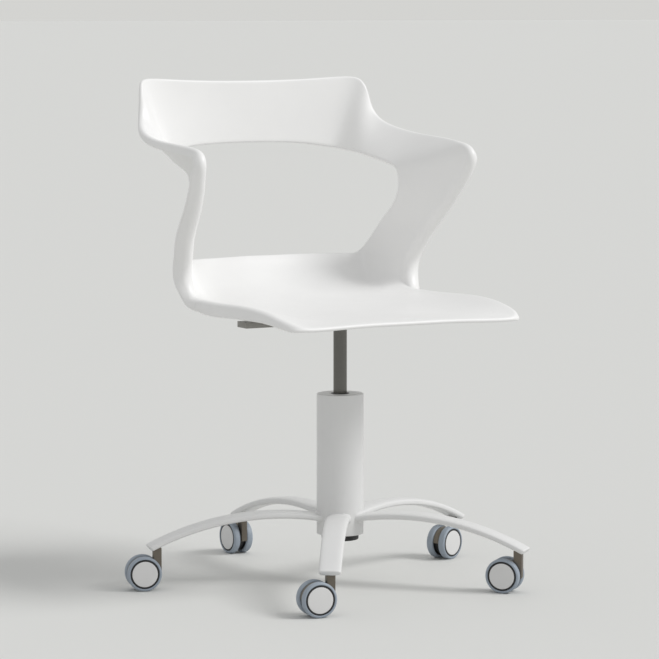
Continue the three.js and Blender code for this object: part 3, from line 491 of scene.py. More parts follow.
def placed_at(point: Vector, axis: Vector = Vector((0, 0, 1)), across: Vector | None = None) -> Matrix:
    """Returns the place whose origin is a point and whose Z runs along an axis.

    Args:
        point: The origin.
        axis: Direction of Z.
        across: Direction near which X lies.

    Returns:
        The place as a matrix.
    """
    upward = axis.normalized()
    side = across or (Vector((1, 0, 0)) if abs(upward.x) < NEARLY_ALONG else Vector((0, 1, 0)))
    sideways = (side - upward * side.dot(upward)).normalized()
    matrix = Matrix((sideways, upward.cross(sideways), upward)).transposed().to_4x4()
    matrix.translation = point
    return matrix


def adopt(piece: Object, body: str, finish: Finish, *nodes: str) -> None:
    """Lets a piece ride on a body and hides the CAD nodes that it stands for.

    Args:
        piece: The piece.
        body: The body's name.
        finish: The piece's finish. Not used.
        nodes: The CAD nodes.
    """
    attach(piece, body)
    if nodes:
        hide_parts(*nodes)
    LOG.info("%s rides on %s with %d faces", piece.name, body, len(piece.data.polygons))


# One row for each main cross-section of half the shell, from the middle of the back, round the
# shoulder, the armrest and the side support, to the middle of the seat's front edge. A row holds
# the window's edge and the outer edge: x of the half width, y of the reach and z of the rise.
SHELL_EDGE_SHARES = (
    ((0, 0.991, 0.705), (0, 1, 0.984)),
    ((0.216, 0.986, 0.703), (0.255, 0.998, 0.986)),
    ((0.412, 0.969, 0.695), (0.51, 0.989, 0.993)),
    ((0.569, 0.938, 0.68), (0.716, 0.969, 1)),
    ((0.627, 0.911, 0.673), (0.8, 0.941, 0.993)),
    ((0.663, 0.862, 0.665), (0.835, 0.908, 0.957)),
    ((0.69, 0.791, 0.657), (0.855, 0.881, 0.883)),
    ((0.714, 0.714, 0.643), (0.89, 0.825, 0.814)),
    ((0.733, 0.631, 0.63), (0.945, 0.695, 0.773)),
    ((0.747, 0.554, 0.616), (0.984, 0.511, 0.75)),
    ((0.755, 0.498, 0.603), (0.998, 0.292, 0.738)),
    ((0.759, 0.468, 0.584), (0.978, 0.113, 0.726)),
    ((0.76, 0.458, 0.568), (0.968, 0.027, 0.711)),
    ((0.76, 0.452, 0.55), (0.963, -0.011, 0.682)),
    ((0.759, 0.449, 0.532), (0.962, -0.018, 0.644)),
    ((0.758, 0.451, 0.511), (0.951, 0.004, 0.597)),
    ((0.757, 0.477, 0.465), (0.926, 0.054, 0.532)),
    ((0.753, 0.532, 0.414), (0.889, 0.156, 0.422)),
    ((0.743, 0.606, 0.354), (0.849, 0.276, 0.314)),
    ((0.727, 0.67, 0.292), (0.813, 0.351, 0.227)),
    ((0.694, 0.727, 0.227), (0.799, 0.388, 0.149)),
    ((0.635, 0.731, 0.201), (0.802, 0.364, 0.091)),
    ((0.557, 0.717, 0.2), (0.817, 0.283, 0.065)),
    ((0.431, 0.705, 0.203), (0.839, 0.046, 0.055)),
    ((0.333, 0.697, 0.205), (0.851, -0.246, 0.058)),
    ((0.259, 0.692, 0.207), (0.841, -0.468, 0.049)),
    ((0.212, 0.689, 0.208), (0.828, -0.588, 0.031)),
    ((0.18, 0.688, 0.208), (0.79, -0.666, 0.011)),
    ((0.141, 0.686, 0.208), (0.715, -0.69, -0.003)),
    ((0.078, 0.684, 0.208), (0.373, -0.683, -0.001)),
    ((0, 0.683, 0.208), (0, -0.683, 0)),
)
# At a row number: the places of the curve's two handles and how far each hangs below the line.
SHELL_HANG_SHARES = (
    (0, 0.33, 0, 0.67, 0),
    (17, 0.33, 0, 0.67, 0),
    (19, 0.36, 0.07, 0.7, 0.05),
    (20.5, 0.36, 0.27, 0.7, 0.15),
    (22, 0.3, 0.64, 0.7, 0.25),
    (24, 0.2, 0.9, 0.68, 0.28),
    (27, 0.15, 1, 0.66, 0.25),
    (30, 0.14, 1, 0.635, 0.225),
)
# At a row number: the rolled edge's radius, its turn of a half turn, and its straight run.
SHELL_LIP_SHARES = (
    (0, 0.4, 0.1, 0),
    (5.5, 0.42, 0.14, 0),
    (7, 0.42, 0.3, 0.1),
    (8.5, 0.4, 0.54, 0.35),
    (10, 0.4, 0.63, 0.55),
    (12, 0.46, 0.67, 0.7),
    (14, 0.62, 0.68, 0.75),
    (16, 0.82, 0.69, 0.9),
    (17.5, 1, 0.7, 1),
    (19, 1.08, 0.7, 1.12),
    (20.2, 1.06, 0.66, 1.02),
    (21.2, 0.8, 0.54, 0.73),
    (21.8, 0.73, 0.5, 0.63),
    (22.3, 0.75, 0.5, 0.92),
    (23.4, 0.74, 0.5, 1.03),
    (24, 0.74, 0.49, 0.96),
    (24.5, 0.7, 0.48, 0.84),
    (25, 0.63, 0.46, 0.64),
    (25.6, 0.57, 0.44, 0.48),
    (26.2, 0.53, 0.41, 0.42),
    (26.8, 0.48, 0.36, 0.42),
    (27.4, 0.42, 0.28, 0.26),
    (28, 0.38, 0.17, 0.04),
    (28.6, 0.38, 0.13, 0),
    (30, 0.38, 0.12, 0),
)


def smooth_through(knots: np.ndarray, values: np.ndarray,
                   changes_sign: bool) -> Callable[[np.ndarray], np.ndarray]:
    """Returns a smooth curve through values at knots.

    Args:
        knots: Places of the values, rising.
        values: The values.
        changes_sign: True where the value changes sign across the chair's middle plane. The curve
            is straight there, and level otherwise.

    Returns:
        A function of the place.
    """
    count = len(knots)
    widths = np.diff(knots)
    slopes = np.diff(values) / widths
    system, known = np.zeros((count, count)), np.zeros(count)
    for i in range(1, count - 1):
        system[i, i - 1:i + 2] = widths[i - 1], 2 * (widths[i - 1] + widths[i]), widths[i]
        known[i] = 6 * (slopes[i] - slopes[i - 1])
    if changes_sign:
        system[0, 0] = system[-1, -1] = 1
    else:
        system[0, :2] = 2 * widths[0], widths[0]
        system[-1, -2:] = widths[-1], 2 * widths[-1]
        known[0], known[-1] = 6 * slopes[0], -6 * slopes[-1]
    bend = np.linalg.solve(system, known)

    def curve(place: np.ndarray) -> np.ndarray:
        """Reads the curve.

        Args:
            place: Places along it.

        Returns:
            The value at each place.
        """
        at = np.clip(place, knots[0], knots[-1])
        i = np.clip(np.searchsorted(knots, at, side="right") - 1, 0, count - 2)
        width = widths[i]
        before, after = (knots[i + 1] - at) / width, (at - knots[i]) / width
        bent = (before**3 - before) * bend[i] + (after**3 - after) * bend[i + 1]
        return before * values[i] + after * values[i + 1] + bent * width**2 / 6

    return curve


def along_rows(table: Sequence[Sequence[float]], column: int, row: np.ndarray) -> np.ndarray:
    """Runs smoothly through a column of a small table, whose first column is a row number."""
    rows = np.array(table, float)
    return smooth_through(rows[:, 0], rows[:, column], False)(row)


def unit(vectors: np.ndarray) -> np.ndarray:
    """Returns vectors of length one."""
    return vectors / np.linalg.norm(vectors, axis=-1, keepdims=True)


def across_only(vectors: np.ndarray, along: np.ndarray) -> np.ndarray:
    """Returns vectors of length one, without what they had along a direction."""
    return unit(vectors - (vectors * along).sum(-1, keepdims=True) * along)


def eased(share: np.ndarray) -> np.ndarray:
    """Returns shares between 0 and 1 that start and end gently."""
    held = np.clip(share, 0, 1)
    return held * held * (3 - 2 * held)


@dataclass
class Shell:
    """The one-piece moulding: seat, side supports, armrests and back, round a window."""

    half_width: float = 255 * MM
    reach: float = 325 * MM
    rise: float = 370 * MM
    seat_edge: float = 439 * MM
    wall: float = 6.4 * MM
    dish: float = 80 * MM
    lip_radius: float = 10.6 * MM
    lip_run: float = 9 * MM
    stations: int = 420
    steps: int = 30
    lip_steps: int = 10
    nose_steps: int = 4
    boss_radius: float = 9 * MM
    boss_flare: float = 3 * MM
    spread_share: float = 0.5
    boss_sides: int = 48
    boss_edge: float = 1 * MM
    slope_step: float = 0.0002
    seat_row: float = 20.4
    free_row: float = 21.9
    blend_rows: float = 2.6
    near_stride: int = 3
    far_stride: int = 6
    held_give: float = 1e-4
    edge_give: float = 0.05
    seat_give: float = 1.0
    foot_row: float = 20.9
    foot_rows: float = 2.6
    foot_edge_steps: int = 15
    foot_rounds: int = 90
    foot_pull: float = 0.5

    def __post_init__(self) -> None:
        """Fits the two edge curves."""
        scale = np.array((self.half_width, self.reach, self.rise))
        rows = np.array(SHELL_EDGE_SHARES) * scale + (0, 0, self.seat_edge)
        steps = np.linalg.norm(np.diff(rows, axis=0), axis=2).sum(1)
        knots = np.concatenate(([0], np.cumsum((steps / self.reach) ** self.spread_share)))
        self.knots = knots / knots[-1]
        self.curves = [[smooth_through(self.knots, rows[:, edge, axis], axis == 0) for axis in range(3)]
                       for edge in (0, 1)]

    def edge_at(self, edge: int, place: np.ndarray) -> np.ndarray:
        """Returns points of the window's edge (0) or the outer edge (1), at places from -1 to 1."""
        x, y, z = (curve(np.abs(place)) for curve in self.curves[edge])
        return np.stack((np.where(place < 0, -x, x), y, z), -1)

    def rows_at(self, place: np.ndarray) -> np.ndarray:
        """Returns the row numbers of places from -1 to 1."""
        return np.interp(np.abs(place), self.knots, np.arange(len(self.knots)))

    def station(self, place: np.ndarray) -> tuple[list[np.ndarray], np.ndarray, tuple[np.ndarray, ...]]:
        """Sets up the cross-sections.

        Args:
            place: Places round the chair, from -1 to 1.

        Returns:
            The four handles of each cross-section, the outer edge's direction there, and the
            rolled edge's radius, turn and run.
        """
        row = self.rows_at(place)
        inner, outer = self.edge_at(0, place), self.edge_at(1, place)
        ahead, behind = wrapped(place + self.slope_step), wrapped(place - self.slope_step)
        along = [unit(self.edge_at(edge, ahead) - self.edge_at(edge, behind)) for edge in (0, 1)]
        shares = [along_rows(SHELL_HANG_SHARES, column, row)[:, None] for column in (1, 2, 3, 4)]
        down = np.array((0, 0, -self.dish))
        near = inner + (outer - inner) * shares[0] + shares[1] * down
        far = inner + (outer - inner) * shares[2] + shares[3] * down
        radius = along_rows(SHELL_LIP_SHARES, 1, row) * self.lip_radius
        turn = along_rows(SHELL_LIP_SHARES, 2, row) * math.pi
        run = along_rows(SHELL_LIP_SHARES, 3, row) * self.lip_run
        half_wall = self.wall / 2
        set_back = np.maximum(half_wall, (radius + half_wall) * np.sin(np.minimum(turn, math.pi / 2)))
        outwards = across_only(outer - far, along[1])
        inwards = across_only(inner - near, along[0])
        handles = [inner - inwards * half_wall, near, far, outer - outwards * set_back[:, None]]
        return handles, along[1], (radius, turn, run)

    def evened(self, sheet: np.ndarray, row: np.ndarray) -> np.ndarray:
        """Draws the seat fair, as a thin plate sprung between its edges and the side supports.

        Args:
            sheet: Points of the wall's middle, by step across and station round.
            row: Row number of each station.

        Returns:
            The sheet with the seat's heights evened.
        """
        seat = np.flatnonzero(row > self.seat_row)
        edge = seat[::self.near_stride]
        root = seat[row[seat] < self.free_row][::self.near_stride]
        free = seat[row[seat] >= self.free_row][::self.far_stride]
        beside_edge, at_root, in_seat = slice(1, 3), slice(3, -1, 2), slice(4, -2, 3)
        parts = (
            (self.held_give, sheet[-1, edge]), (self.held_give, sheet[0, edge]),
            (self.held_give, sheet[at_root, root]), (self.edge_give, sheet[beside_edge, edge]),
            (self.seat_give, sheet[in_seat, free]),
        )
        points = np.concatenate([part.reshape(-1, 3) for _, part in parts])
        gives = np.concatenate([np.full(part[..., 0].size, give) for give, part in parts])
        height = thin_plate(points, gives)
        share = eased((row - self.seat_row) / self.blend_rows)
        even = sheet.copy()
        even[:, seat, 2] += share[seat] * (height(sheet[:, seat]) - sheet[:, seat, 2])
        return even

    def hollowed(self, sheet: np.ndarray, row: np.ndarray) -> np.ndarray:
        """Widens the hollow at the side supports' feet, and leaves the edges as they are.

        Args:
            sheet: Points of the wall's middle, by step across and station round.
            row: Row number of each station.

        Returns:
            The sheet, smoother round the feet.
        """
        near = eased(1 - np.abs(row - self.foot_row) / self.foot_rows)
        steps = np.arange(self.steps + 1)
        inside = eased((np.minimum(steps, self.steps - steps) - 1) / self.foot_edge_steps)
        pull = (self.foot_pull * inside[:, None] * near[None])[..., None]
        for _ in range(self.foot_rounds):
            sheet = sheet + pull * ((np.roll(sheet, 1, axis=1) + np.roll(sheet, -1, axis=1)) / 2 - sheet)
        return sheet

    def nose(self, point: np.ndarray, normal: np.ndarray, ahead: np.ndarray) -> list[np.ndarray]:
        """Returns rows of points round an edge of the wall, from its upper side to its lower one."""
        angles = np.linspace(0, math.pi, self.nose_steps + 2)[1:-1]
        return [point + self.wall / 2 * (math.cos(a) * normal + math.sin(a) * ahead) for a in angles]

    def form(self) -> Form:
        """Shapes the whole wall.

        Returns:
            One closed form, without its bosses.
        """
        places = np.linspace(-1, 1, self.stations, endpoint=False)
        row = self.rows_at(places)
        handles, along, (radius, turn, run) = self.station(places)
        sheet = np.array([bezier(handles, share) for share in np.linspace(0, 1, self.steps + 1)])
        sheet = self.hollowed(self.evened(sheet, row), row)
        across_sheet = unit(np.gradient(sheet, axis=0, edge_order=2))
        round_way = np.roll(sheet, -1, axis=1) - np.roll(sheet, 1, axis=1)
        points, across = list(sheet), list(across_sheet)
        normals = list(unit(np.cross(round_way, across_sheet)))
        rim, upward = points[-1], normals[-1]
        outwards = unit(np.cross(upward, along))
        for step in range(1, self.lip_steps + 1):
            sine, cosine = (f(turn * step / self.lip_steps)[:, None] for f in (np.sin, np.cos))
            normals.append(upward * cosine + outwards * sine)
            across.append(outwards * cosine - upward * sine)
            points.append(rim + radius[:, None] * (outwards * sine + upward * (cosine - 1)))
        points[-1] = points[-1] + across[-1] * run[:, None]
        half_wall = self.wall / 2
        rings = [point + half_wall * normal for point, normal in zip(points, normals)]
        rings += self.nose(points[-1], normals[-1], across[-1])
        rings += [point - half_wall * normal for point, normal in zip(points[::-1], normals[::-1])]
        rings += self.nose(points[0], -normals[0], -across[0])
        grid = np.array(rings)
        rows, count = grid.shape[:2]
        faces = [(i * count + j, (i + 1) % rows * count + j, (i + 1) % rows * count + (j + 1) % count,
                  i * count + (j + 1) % count) for i in range(rows) for j in range(count)]
        return Form(grid.reshape(-1, 3), faces).moved(Matrix.Translation(COLUMN_AXIS))

    def bosses(self, wall: Object) -> Form:
        """Shapes the four screw bosses, each from the plate up into the wall's underside.

        Args:
            wall: The moulded wall.

        Returns:
            The bosses as one form.
        """
        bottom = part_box("seat_plate")[1].z + CLEARANCE
        mesh = wall.data
        tree = BVHTree.FromPolygons([v.co for v in mesh.vertices], [p.vertices for p in mesh.polygons])
        forms = []
        for number in SCREW_NUMBERS:
            axis = middle_of(f"seat_screw_{number}")
            top = tree.ray_cast(Vector((axis.x, axis.y, 0)), Vector((0, 0, 1)))[0].z + self.wall / 2
            forms.append(Form.turned((
                (0, bottom), (self.boss_radius, bottom, self.boss_edge),
                (self.boss_radius, top - self.wall, self.boss_edge),
                (self.boss_radius + self.boss_flare, top), (0, top),
            ), placed_at(Vector((axis.x, axis.y, 0))), self.boss_sides))
        return forms[0].joined(forms[1:])

    def build(self) -> None:
        """Builds the shell and its bosses."""
        wall = self.form().piece("moulded_shell", SHELL_PLASTIC)
        self.bosses(wall).put("shell_bosses", SHELL_PLASTIC, "seat")
        adopt(wall, "seat", SHELL_PLASTIC, "seat_shell")


def wrapped(place: np.ndarray) -> np.ndarray:
    """Keeps places round the chair between -1 and 1."""
    return (place + 1) % 2 - 1


def bezier(handles: Sequence[np.ndarray], share: float) -> np.ndarray:
    """Runs along curves of four handles each.

    Args:
        handles: The start, the two hanging handles and the end of every curve.
        share: How far along each curve, from 0 to 1.

    Returns:
        The point there on every curve.
    """
    start, near, far, end = handles
    rest = 1 - share
    return start * rest**3 + near * 3 * share * rest**2 + far * 3 * share**2 * rest + end * share**3


def thin_plate(points: np.ndarray, gives: np.ndarray) -> Callable[[np.ndarray], np.ndarray]:
    """Returns the smoothest height over the plan near a set of points.

    Args:
        points: Points of the surface.
        gives: How freely the plate may miss each of them. A small number holds it.

    Returns:
        A function that gives the height above any points.
    """
    unit_length, smallest = 100 * MM, 1e-12

    def pull(first: np.ndarray, second: np.ndarray) -> np.ndarray:
        """Returns how each point of the second set bends the plate at each of the first."""
        gap = ((first[:, None] - second[None]) ** 2).sum(-1)
        return 0.5 * gap * np.log(gap + smallest)

    plan, count = points[:, :2] / unit_length, len(points)
    system = np.zeros((count + 3, count + 3))
    system[:count, :count] = pull(plan, plan) + np.diag(gives)
    system[:count, count] = 1
    system[:count, count + 1:] = plan
    system[count:, :count] = system[:count, count:].T
    weights = np.linalg.solve(system, np.concatenate((points[:, 2], np.zeros(3))))

    def height(places: np.ndarray) -> np.ndarray:
        """Reads the plate.

        Args:
            places: Points whose X and Y count.

        Returns:
            The plate's height above each.
        """
        flat = places[..., :2].reshape(-1, 2) / unit_length
        level = pull(flat, plan) @ weights[:count] + weights[count] + flat @ weights[count + 1:]
        return level.reshape(places.shape[:-1])

    return height


class Graph:
    """A Geometry Nodes tree in the making."""

    def __init__(self, name: str, sizes: dict[str, float]) -> None:
        """Starts a tree with a geometry input, a material input and named sizes.

        Args:
            name: The tree's name.
            sizes: Name and value of each size.
        """
        self.tree = bpy.data.node_groups.new(name, "GeometryNodeTree")
        sockets = [("Geometry", "OUTPUT", "NodeSocketGeometry"), ("Geometry", "INPUT", "NodeSocketGeometry"),
                   ("Finish", "INPUT", "NodeSocketMaterial"),
                   *((size, "INPUT", "NodeSocketFloat") for size in sizes)]
        for socket, way, kind in sockets:
            self.tree.interface.new_socket(socket, in_out=way, socket_type=kind)
        self.sizes = sizes
        self.inputs = self.node("NodeGroupInput")
        self.output = self.node("NodeGroupOutput")

    def node(self, kind: str, settings: dict[str, object] | None = None, **inputs: object) -> Node:
        """Adds a node to the tree, as add_node does."""
        return add_node(self.tree, kind, settings, **inputs)

    def size(self, name: str) -> Value:
        """Returns a named size."""
        return Value(self.tree, self.inputs.outputs[name])

    def finish_with(self, geometry: NodeSocket) -> None:
        """Ends the tree in real geometry with its material.

        Args:
            geometry: What the tree has made.
        """
        real = self.node("GeometryNodeRealizeInstances", Geometry=geometry)
        coated = self.node("GeometryNodeSetMaterial", Geometry=real.outputs[0],
                           Material=self.inputs.outputs["Finish"])
        wire(self.tree, self.output, Geometry=coated.outputs[0])

    def grow(self, name: str, start: Mesh, finish: Finish) -> Object:
        """Runs the tree on a mesh.

        Args:
            name: The piece's name.
            start: The mesh that goes in.
            finish: The finish to set.

        Returns:
            The result as a plain piece, without modifiers.
        """
        seed = bpy.data.objects.new(name, start)
        bpy.context.scene.collection.objects.link(seed)
        modifier = seed.modifiers.new("growth", "NODES")
        modifier.node_group = self.tree
        for item in self.tree.interface.items_tree:
            if item.in_out == "INPUT" and item.name in self.sizes:
                modifier[item.identifier] = float(self.sizes[item.name])
            elif item.in_out == "INPUT" and item.name == "Finish":
                modifier[item.identifier] = finish.material()
        grown = evaluated_mesh(seed)
        bpy.data.objects.remove(seed)
        clean(grown)
        return dressed(grown, name, finish)


@dataclass
class Arms:
    """The five arms: flat ovals along an arc, welded to the column, with a recess for each castor's post."""

    arc_radius: float = 457.5 * MM
    crest_reach: float = 116 * MM
    end_level: float = 79.4 * MM
    root_reach: float = 31 * MM
    reach: float = 320 * MM
    root_width: float = 39 * MM
    tip_width: float = 34.5 * MM
    thickness: float = 12 * MM
    squareness: float = 0.6
    end_corner: float = 4 * MM
    end_edge: float = 2.5 * MM
    end_slant: float = 0.6
    slant_length: float = 40 * MM
    fillet: float = 4 * MM
    column_radius: float = 37.95 * MM
    stem_reach: float = 303.5 * MM
    recess_radius: float = 8.95 * MM
    recess_depth: float = 1 * MM
    bore_radius: float = 4.3 * MM
    bore_depth: float = 6.5 * MM
    long_steps: int = 90
    sides: int = 48
    bore_sides: int = 64
    count: int = 5

    def crest_level(self) -> float:
        """Returns the level of the arc's highest point."""
        past = self.stem_reach - self.crest_reach
        return self.end_level + self.arc_radius - math.sqrt(self.arc_radius**2 - past**2)

    def bar(self) -> Mesh:
        """Makes the grid that the tree bends into an arm.

        Returns:
            A mesh whose X is the share of the length, Y the turn of the section and Z 0 at the closed ends.
        """
        crowded = (1 - np.cos(np.linspace(0, math.pi, self.long_steps))) / 2
        crowded = np.concatenate(([0], crowded, [1]))
        points = [(share, turn / self.sides, 1 if 0 < i < len(crowded) - 1 else 0)
                  for i, share in enumerate(crowded) for turn in range(self.sides + 1)]
        row = self.sides + 1
        faces = [(i * row + j, (i + 1) * row + j, (i + 1) * row + j + 1, i * row + j + 1)
                 for i in range(len(crowded) - 1) for j in range(self.sides)]
        mesh = bpy.data.meshes.new("arm_grid")
        mesh.from_pydata(points, [], faces)
        return mesh

    def graph(self, first_turn: float) -> Graph:
        """Makes the tree that bends the grid into an arm and sets copies of it round the column.

        Args:
            first_turn: Direction of the first arm, round Z.

        Returns:
            The tree.
        """
        graph = Graph("arms", {
            "Arc radius": self.arc_radius, "Crest reach": self.crest_reach, "Crest level": self.crest_level(),
            "Root reach": self.root_reach, "Reach": self.reach, "Root width": self.root_width,
            "Tip width": self.tip_width, "Thickness": self.thickness, "Squareness": self.squareness,
            "End corner": self.end_corner, "End edge": self.end_edge, "Fillet": self.fillet,
            "Column radius": self.column_radius, "End slant": self.end_slant,
            "Slant length": self.slant_length, "Stem reach": self.stem_reach,
            "Recess radius": self.recess_radius,
            "Recess level": self.end_level - self.thickness + self.recess_depth,
            "Bore radius": self.bore_radius, "Bore depth": self.bore_depth,
            "First turn": first_turn, "Count": self.count,
        })
        seat = graph.size("Recess level")
        cut = graph.node("GeometryNodeMeshBoolean", {"operation": "DIFFERENCE", "solver": "EXACT"},
                         n0=self.bent(graph), n1=self.cutter(graph, "Recess radius", seat))
        bore = self.cutter(graph, "Bore radius", seat + graph.size("Bore depth"))
        graph.tree.links.new(bore, cut.inputs[1])
        centre = graph.node("GeometryNodePoints", Count=self.count)
        index = Value(graph.tree, graph.node("GeometryNodeInputIndex").outputs[0])
        turn = index.op("MULTIPLY_ADD", FULL_TURN / graph.size("Count"), graph.size("First turn"))
        facing = graph.node("ShaderNodeCombineXYZ", n2=turn)
        ring = graph.node("GeometryNodeInstanceOnPoints", Points=centre.outputs[0], Instance=cut.outputs[0],
                          Rotation=facing.outputs[0])
        graph.finish_with(ring.outputs[0])
        return graph

    def cutter(self, graph: Graph, radius: str, top: Value) -> NodeSocket:
        """Adds a cylinder on the castor's swivel axis, from the floor up.

        Args:
            graph: The tree.
            radius: Name of its radius.
            top: Its upper level.

        Returns:
            The cylinder.
        """
        barrel = graph.node("GeometryNodeMeshCylinder", Vertices=self.bore_sides, Radius=graph.size(radius),
                            Depth=top)
        middle = graph.node("ShaderNodeCombineXYZ", n0=graph.size("Stem reach"), n2=top / 2)
        return graph.node("GeometryNodeTransform", Geometry=barrel.outputs[0],
                          Translation=middle.outputs[0]).outputs[0]

    def bent(self, graph: Graph) -> NodeSocket:
        """Adds the nodes that bend the grid into one closed arm along X.

        Args:
            graph: The tree.

        Returns:
            The arm.
        """
        size = graph.size

        def between(share: Value, first: str, last: str) -> Value:
            """Returns the length at a share of the way from one named size to another."""
            return share.op("MULTIPLY_ADD", size(last) - size(first), size(first))

        def top_at(place: Value) -> Value:
            """Returns the level of the arm's top line.

            Args:
                place: Distance from the column's axis.

            Returns:
                The level there.
            """
            past = place - size("Crest reach")
            over = (size("Arc radius") ** 2 - past * past).op("SQRT")
            return over - size("Arc radius") + size("Crest level")

        def quarter_round(radius: Value, into: Value) -> Value:
            """Returns what a quarter round takes off at a distance into it."""
            part = (into.op("MAXIMUM") / radius).op("MINIMUM", 1)
            return radius * (1 - (1 - part ** 2).op("MAXIMUM").op("SQRT"))

        def lost(radius: Value) -> Value:
            """Returns what the arm's round end takes off the section."""
            return quarter_round(radius, reach - size("Reach") + radius)

        def flattened(operation: str) -> Value:
            """Returns the section angle's sine or cosine, drawn towards a flatter oval."""
            value = angle.op(operation)
            return value.op("SIGN") * value.op("ABSOLUTE") ** size("Squareness")

        spot = graph.node("GeometryNodeInputPosition").outputs[0]
        parts = graph.node("ShaderNodeSeparateXYZ", Vector=spot).outputs
        share, turn, open_end = (Value(graph.tree, part) for part in parts)
        reach = between(share, "Root reach", "Reach")
        half = size("Thickness") / 2
        half_width = between(share, "Root width", "Tip width") / 2 - lost(size("End corner"))
        half_thickness = half - lost(size("End edge"))
        angle = turn * FULL_TURN
        sideways = half_width * flattened("COSINE")
        chord = (size("Column radius") ** 2 - sideways * sideways).op("MAXIMUM").op("SQRT")
        fillet = quarter_round(size("Fillet"), chord + size("Fillet") - reach)
        upwards = (half_thickness + fillet) * flattened("SINE")
        depth = half - upwards * open_end
        near_end = (1 - (size("Reach") - reach) / size("Slant length")).op("MAXIMUM") ** 2
        place = reach - size("End slant") * near_end * depth
        moved = graph.node("ShaderNodeCombineXYZ", n0=place, n1=sideways * open_end, n2=top_at(place) - depth)
        skin = graph.node("GeometryNodeSetPosition", Geometry=graph.inputs.outputs["Geometry"],
                          Position=moved.outputs[0])
        return graph.node("GeometryNodeMergeByDistance", Geometry=skin.outputs[0],
                          Distance=WELD_DISTANCE).outputs[0]

    def build(self, names: Sequence[str]) -> None:
        """Builds the arms.

        Args:
            names: The castors' names, in order round the column.
        """
        first = Vector(JOINTS[f"{names[0]}_swivel"]["pos_m"]) - COLUMN_AXIS
        arms = self.graph(math.atan2(first.y, first.x)).grow("arms", self.bar(), WHITE_COAT)
        arms.data.transform(Matrix.Translation(COLUMN_AXIS))
        adopt(arms, "base", WHITE_COAT, *(f"{name}_arm" for name in names))


@dataclass
class Column:
    """The column, its bush and foot cap, and the lift inside it."""

    wall: float = 2.5 * MM
    top_thickness: float = 5 * MM
    top_edge: float = 1.6 * MM
    inner_foot_edge: float = 0.6 * MM
    taper: float = 0.7 * MM
    socket_height: float = 18 * MM
    crown: float = 14 * MM
    tube_wall: float = 3 * MM
    tube_end: float = 8 * MM
    flange_width: float = 1.5 * MM
    flange_recess: float = 1.5 * MM
    rod_radius: float = 4 * MM
    pin_radius: float = 2 * MM
    cap_plug: float = 10 * MM
    cap_wall: float = 3 * MM
    cap_floor: float = 9 * MM
    cap_recess_radius: float = 9 * MM
    cap_recess_depth: float = 5 * MM
    cap_radius: float = 30 * MM
    cap_depth: float = 9.3 * MM
    cap_edge: float = 1.5 * MM
    sides: int = 160

    def build(self) -> None:
        """Builds the column's visible pieces and finishes the hidden ones."""
        place = placed_at(COLUMN_AXIS)
        radius, bottom, top = round_box("column_tube")
        flange, bush_foot, bush_top = round_box("guide_bush")
        tube, tube_foot, tube_top = round_box("pressure_tube")
        inner, bore, sleeve = radius - self.wall, tube + CLEARANCE, flange - self.flange_width
        hole, recess = sleeve + CLEARANCE, flange + CLEARANCE
        seat, ledge = top - self.flange_recess, top - self.top_thickness
        Form.turned((
            (inner, bottom, self.inner_foot_edge), (radius, bottom, TURNED_EDGE),
            (radius, top, self.top_edge), (recess, top, FINE_EDGE), (recess, seat), (hole, seat),
            (hole, ledge), (inner, ledge),
        ), place, self.sides).put("white_column", WHITE_COAT, "base", "column_tube")
        Form.turned((
            (bore, bush_foot), (sleeve, bush_foot), (sleeve, seat + CLEARANCE), (flange, seat + CLEARANCE),
            (flange, bush_top, FINE_EDGE), (bore, bush_top, HAIR_EDGE),
        ), place).put("bush_ring", BLACK_PLASTIC, "base", "guide_bush")
        self.foot_cap(bottom, inner - CLEARANCE).moved(place).put(
            "black_foot_cap", BLACK_PLASTIC, "base", "foot_cap")
        inside = tube - self.tube_wall
        pin_hole, rod_hole = self.pin_radius + CLEARANCE, self.rod_radius + CLEARANCE
        end, crown = tube_foot + self.tube_end, tube_top - self.crown
        Form.turned((
            (rod_hole, tube_foot), (tube, tube_foot, TURNED_EDGE), (tube, tube_top - self.socket_height),
            (tube - self.taper, tube_top, FINE_EDGE), (pin_hole, tube_top), (pin_hole, crown),
            (inside, crown), (inside, end), (rod_hole, end),
        ), place).put("dark_pressure_tube", DARK_TUBE, "seat", "pressure_tube")
        coat(BLACK_PLASTIC, "piston")
        coat(ZINC, "piston_rod", "thrust_bearing", "retaining_clip", "release_pin")

    def foot_cap(self, bottom: float, plug: float) -> Form:
        """Shapes the cap at the column's foot.

        Args:
            bottom: Level of the column's foot.
            plug: Radius of the plug that fits in it.

        Returns:
            The cap, about Z.
        """
        under = bottom - self.cap_depth
        recess = under + self.cap_recess_depth
        floor, plug_top = recess + self.cap_floor, bottom + self.cap_plug
        hub = self.rod_radius + CLEARANCE
        return Form.turned((
            (hub, recess), (self.cap_recess_radius, recess), (self.cap_recess_radius, under, SMALL_EDGE),
            (self.cap_radius, under, self.cap_edge), (self.cap_radius, bottom), (plug, bottom),
            (plug, plug_top), (plug - self.cap_wall, plug_top), (plug - self.cap_wall, floor), (hub, floor),
        ))


def coat(finish: Finish, *nodes: str) -> None:
    """Gives CAD nodes that are carried over their finish.

    Args:
        finish: The finish.
        nodes: The nodes' names.
    """
    for node in nodes:
        for slot in SCENE_NODES[node].material_slots:
            slot.material = finish.material()


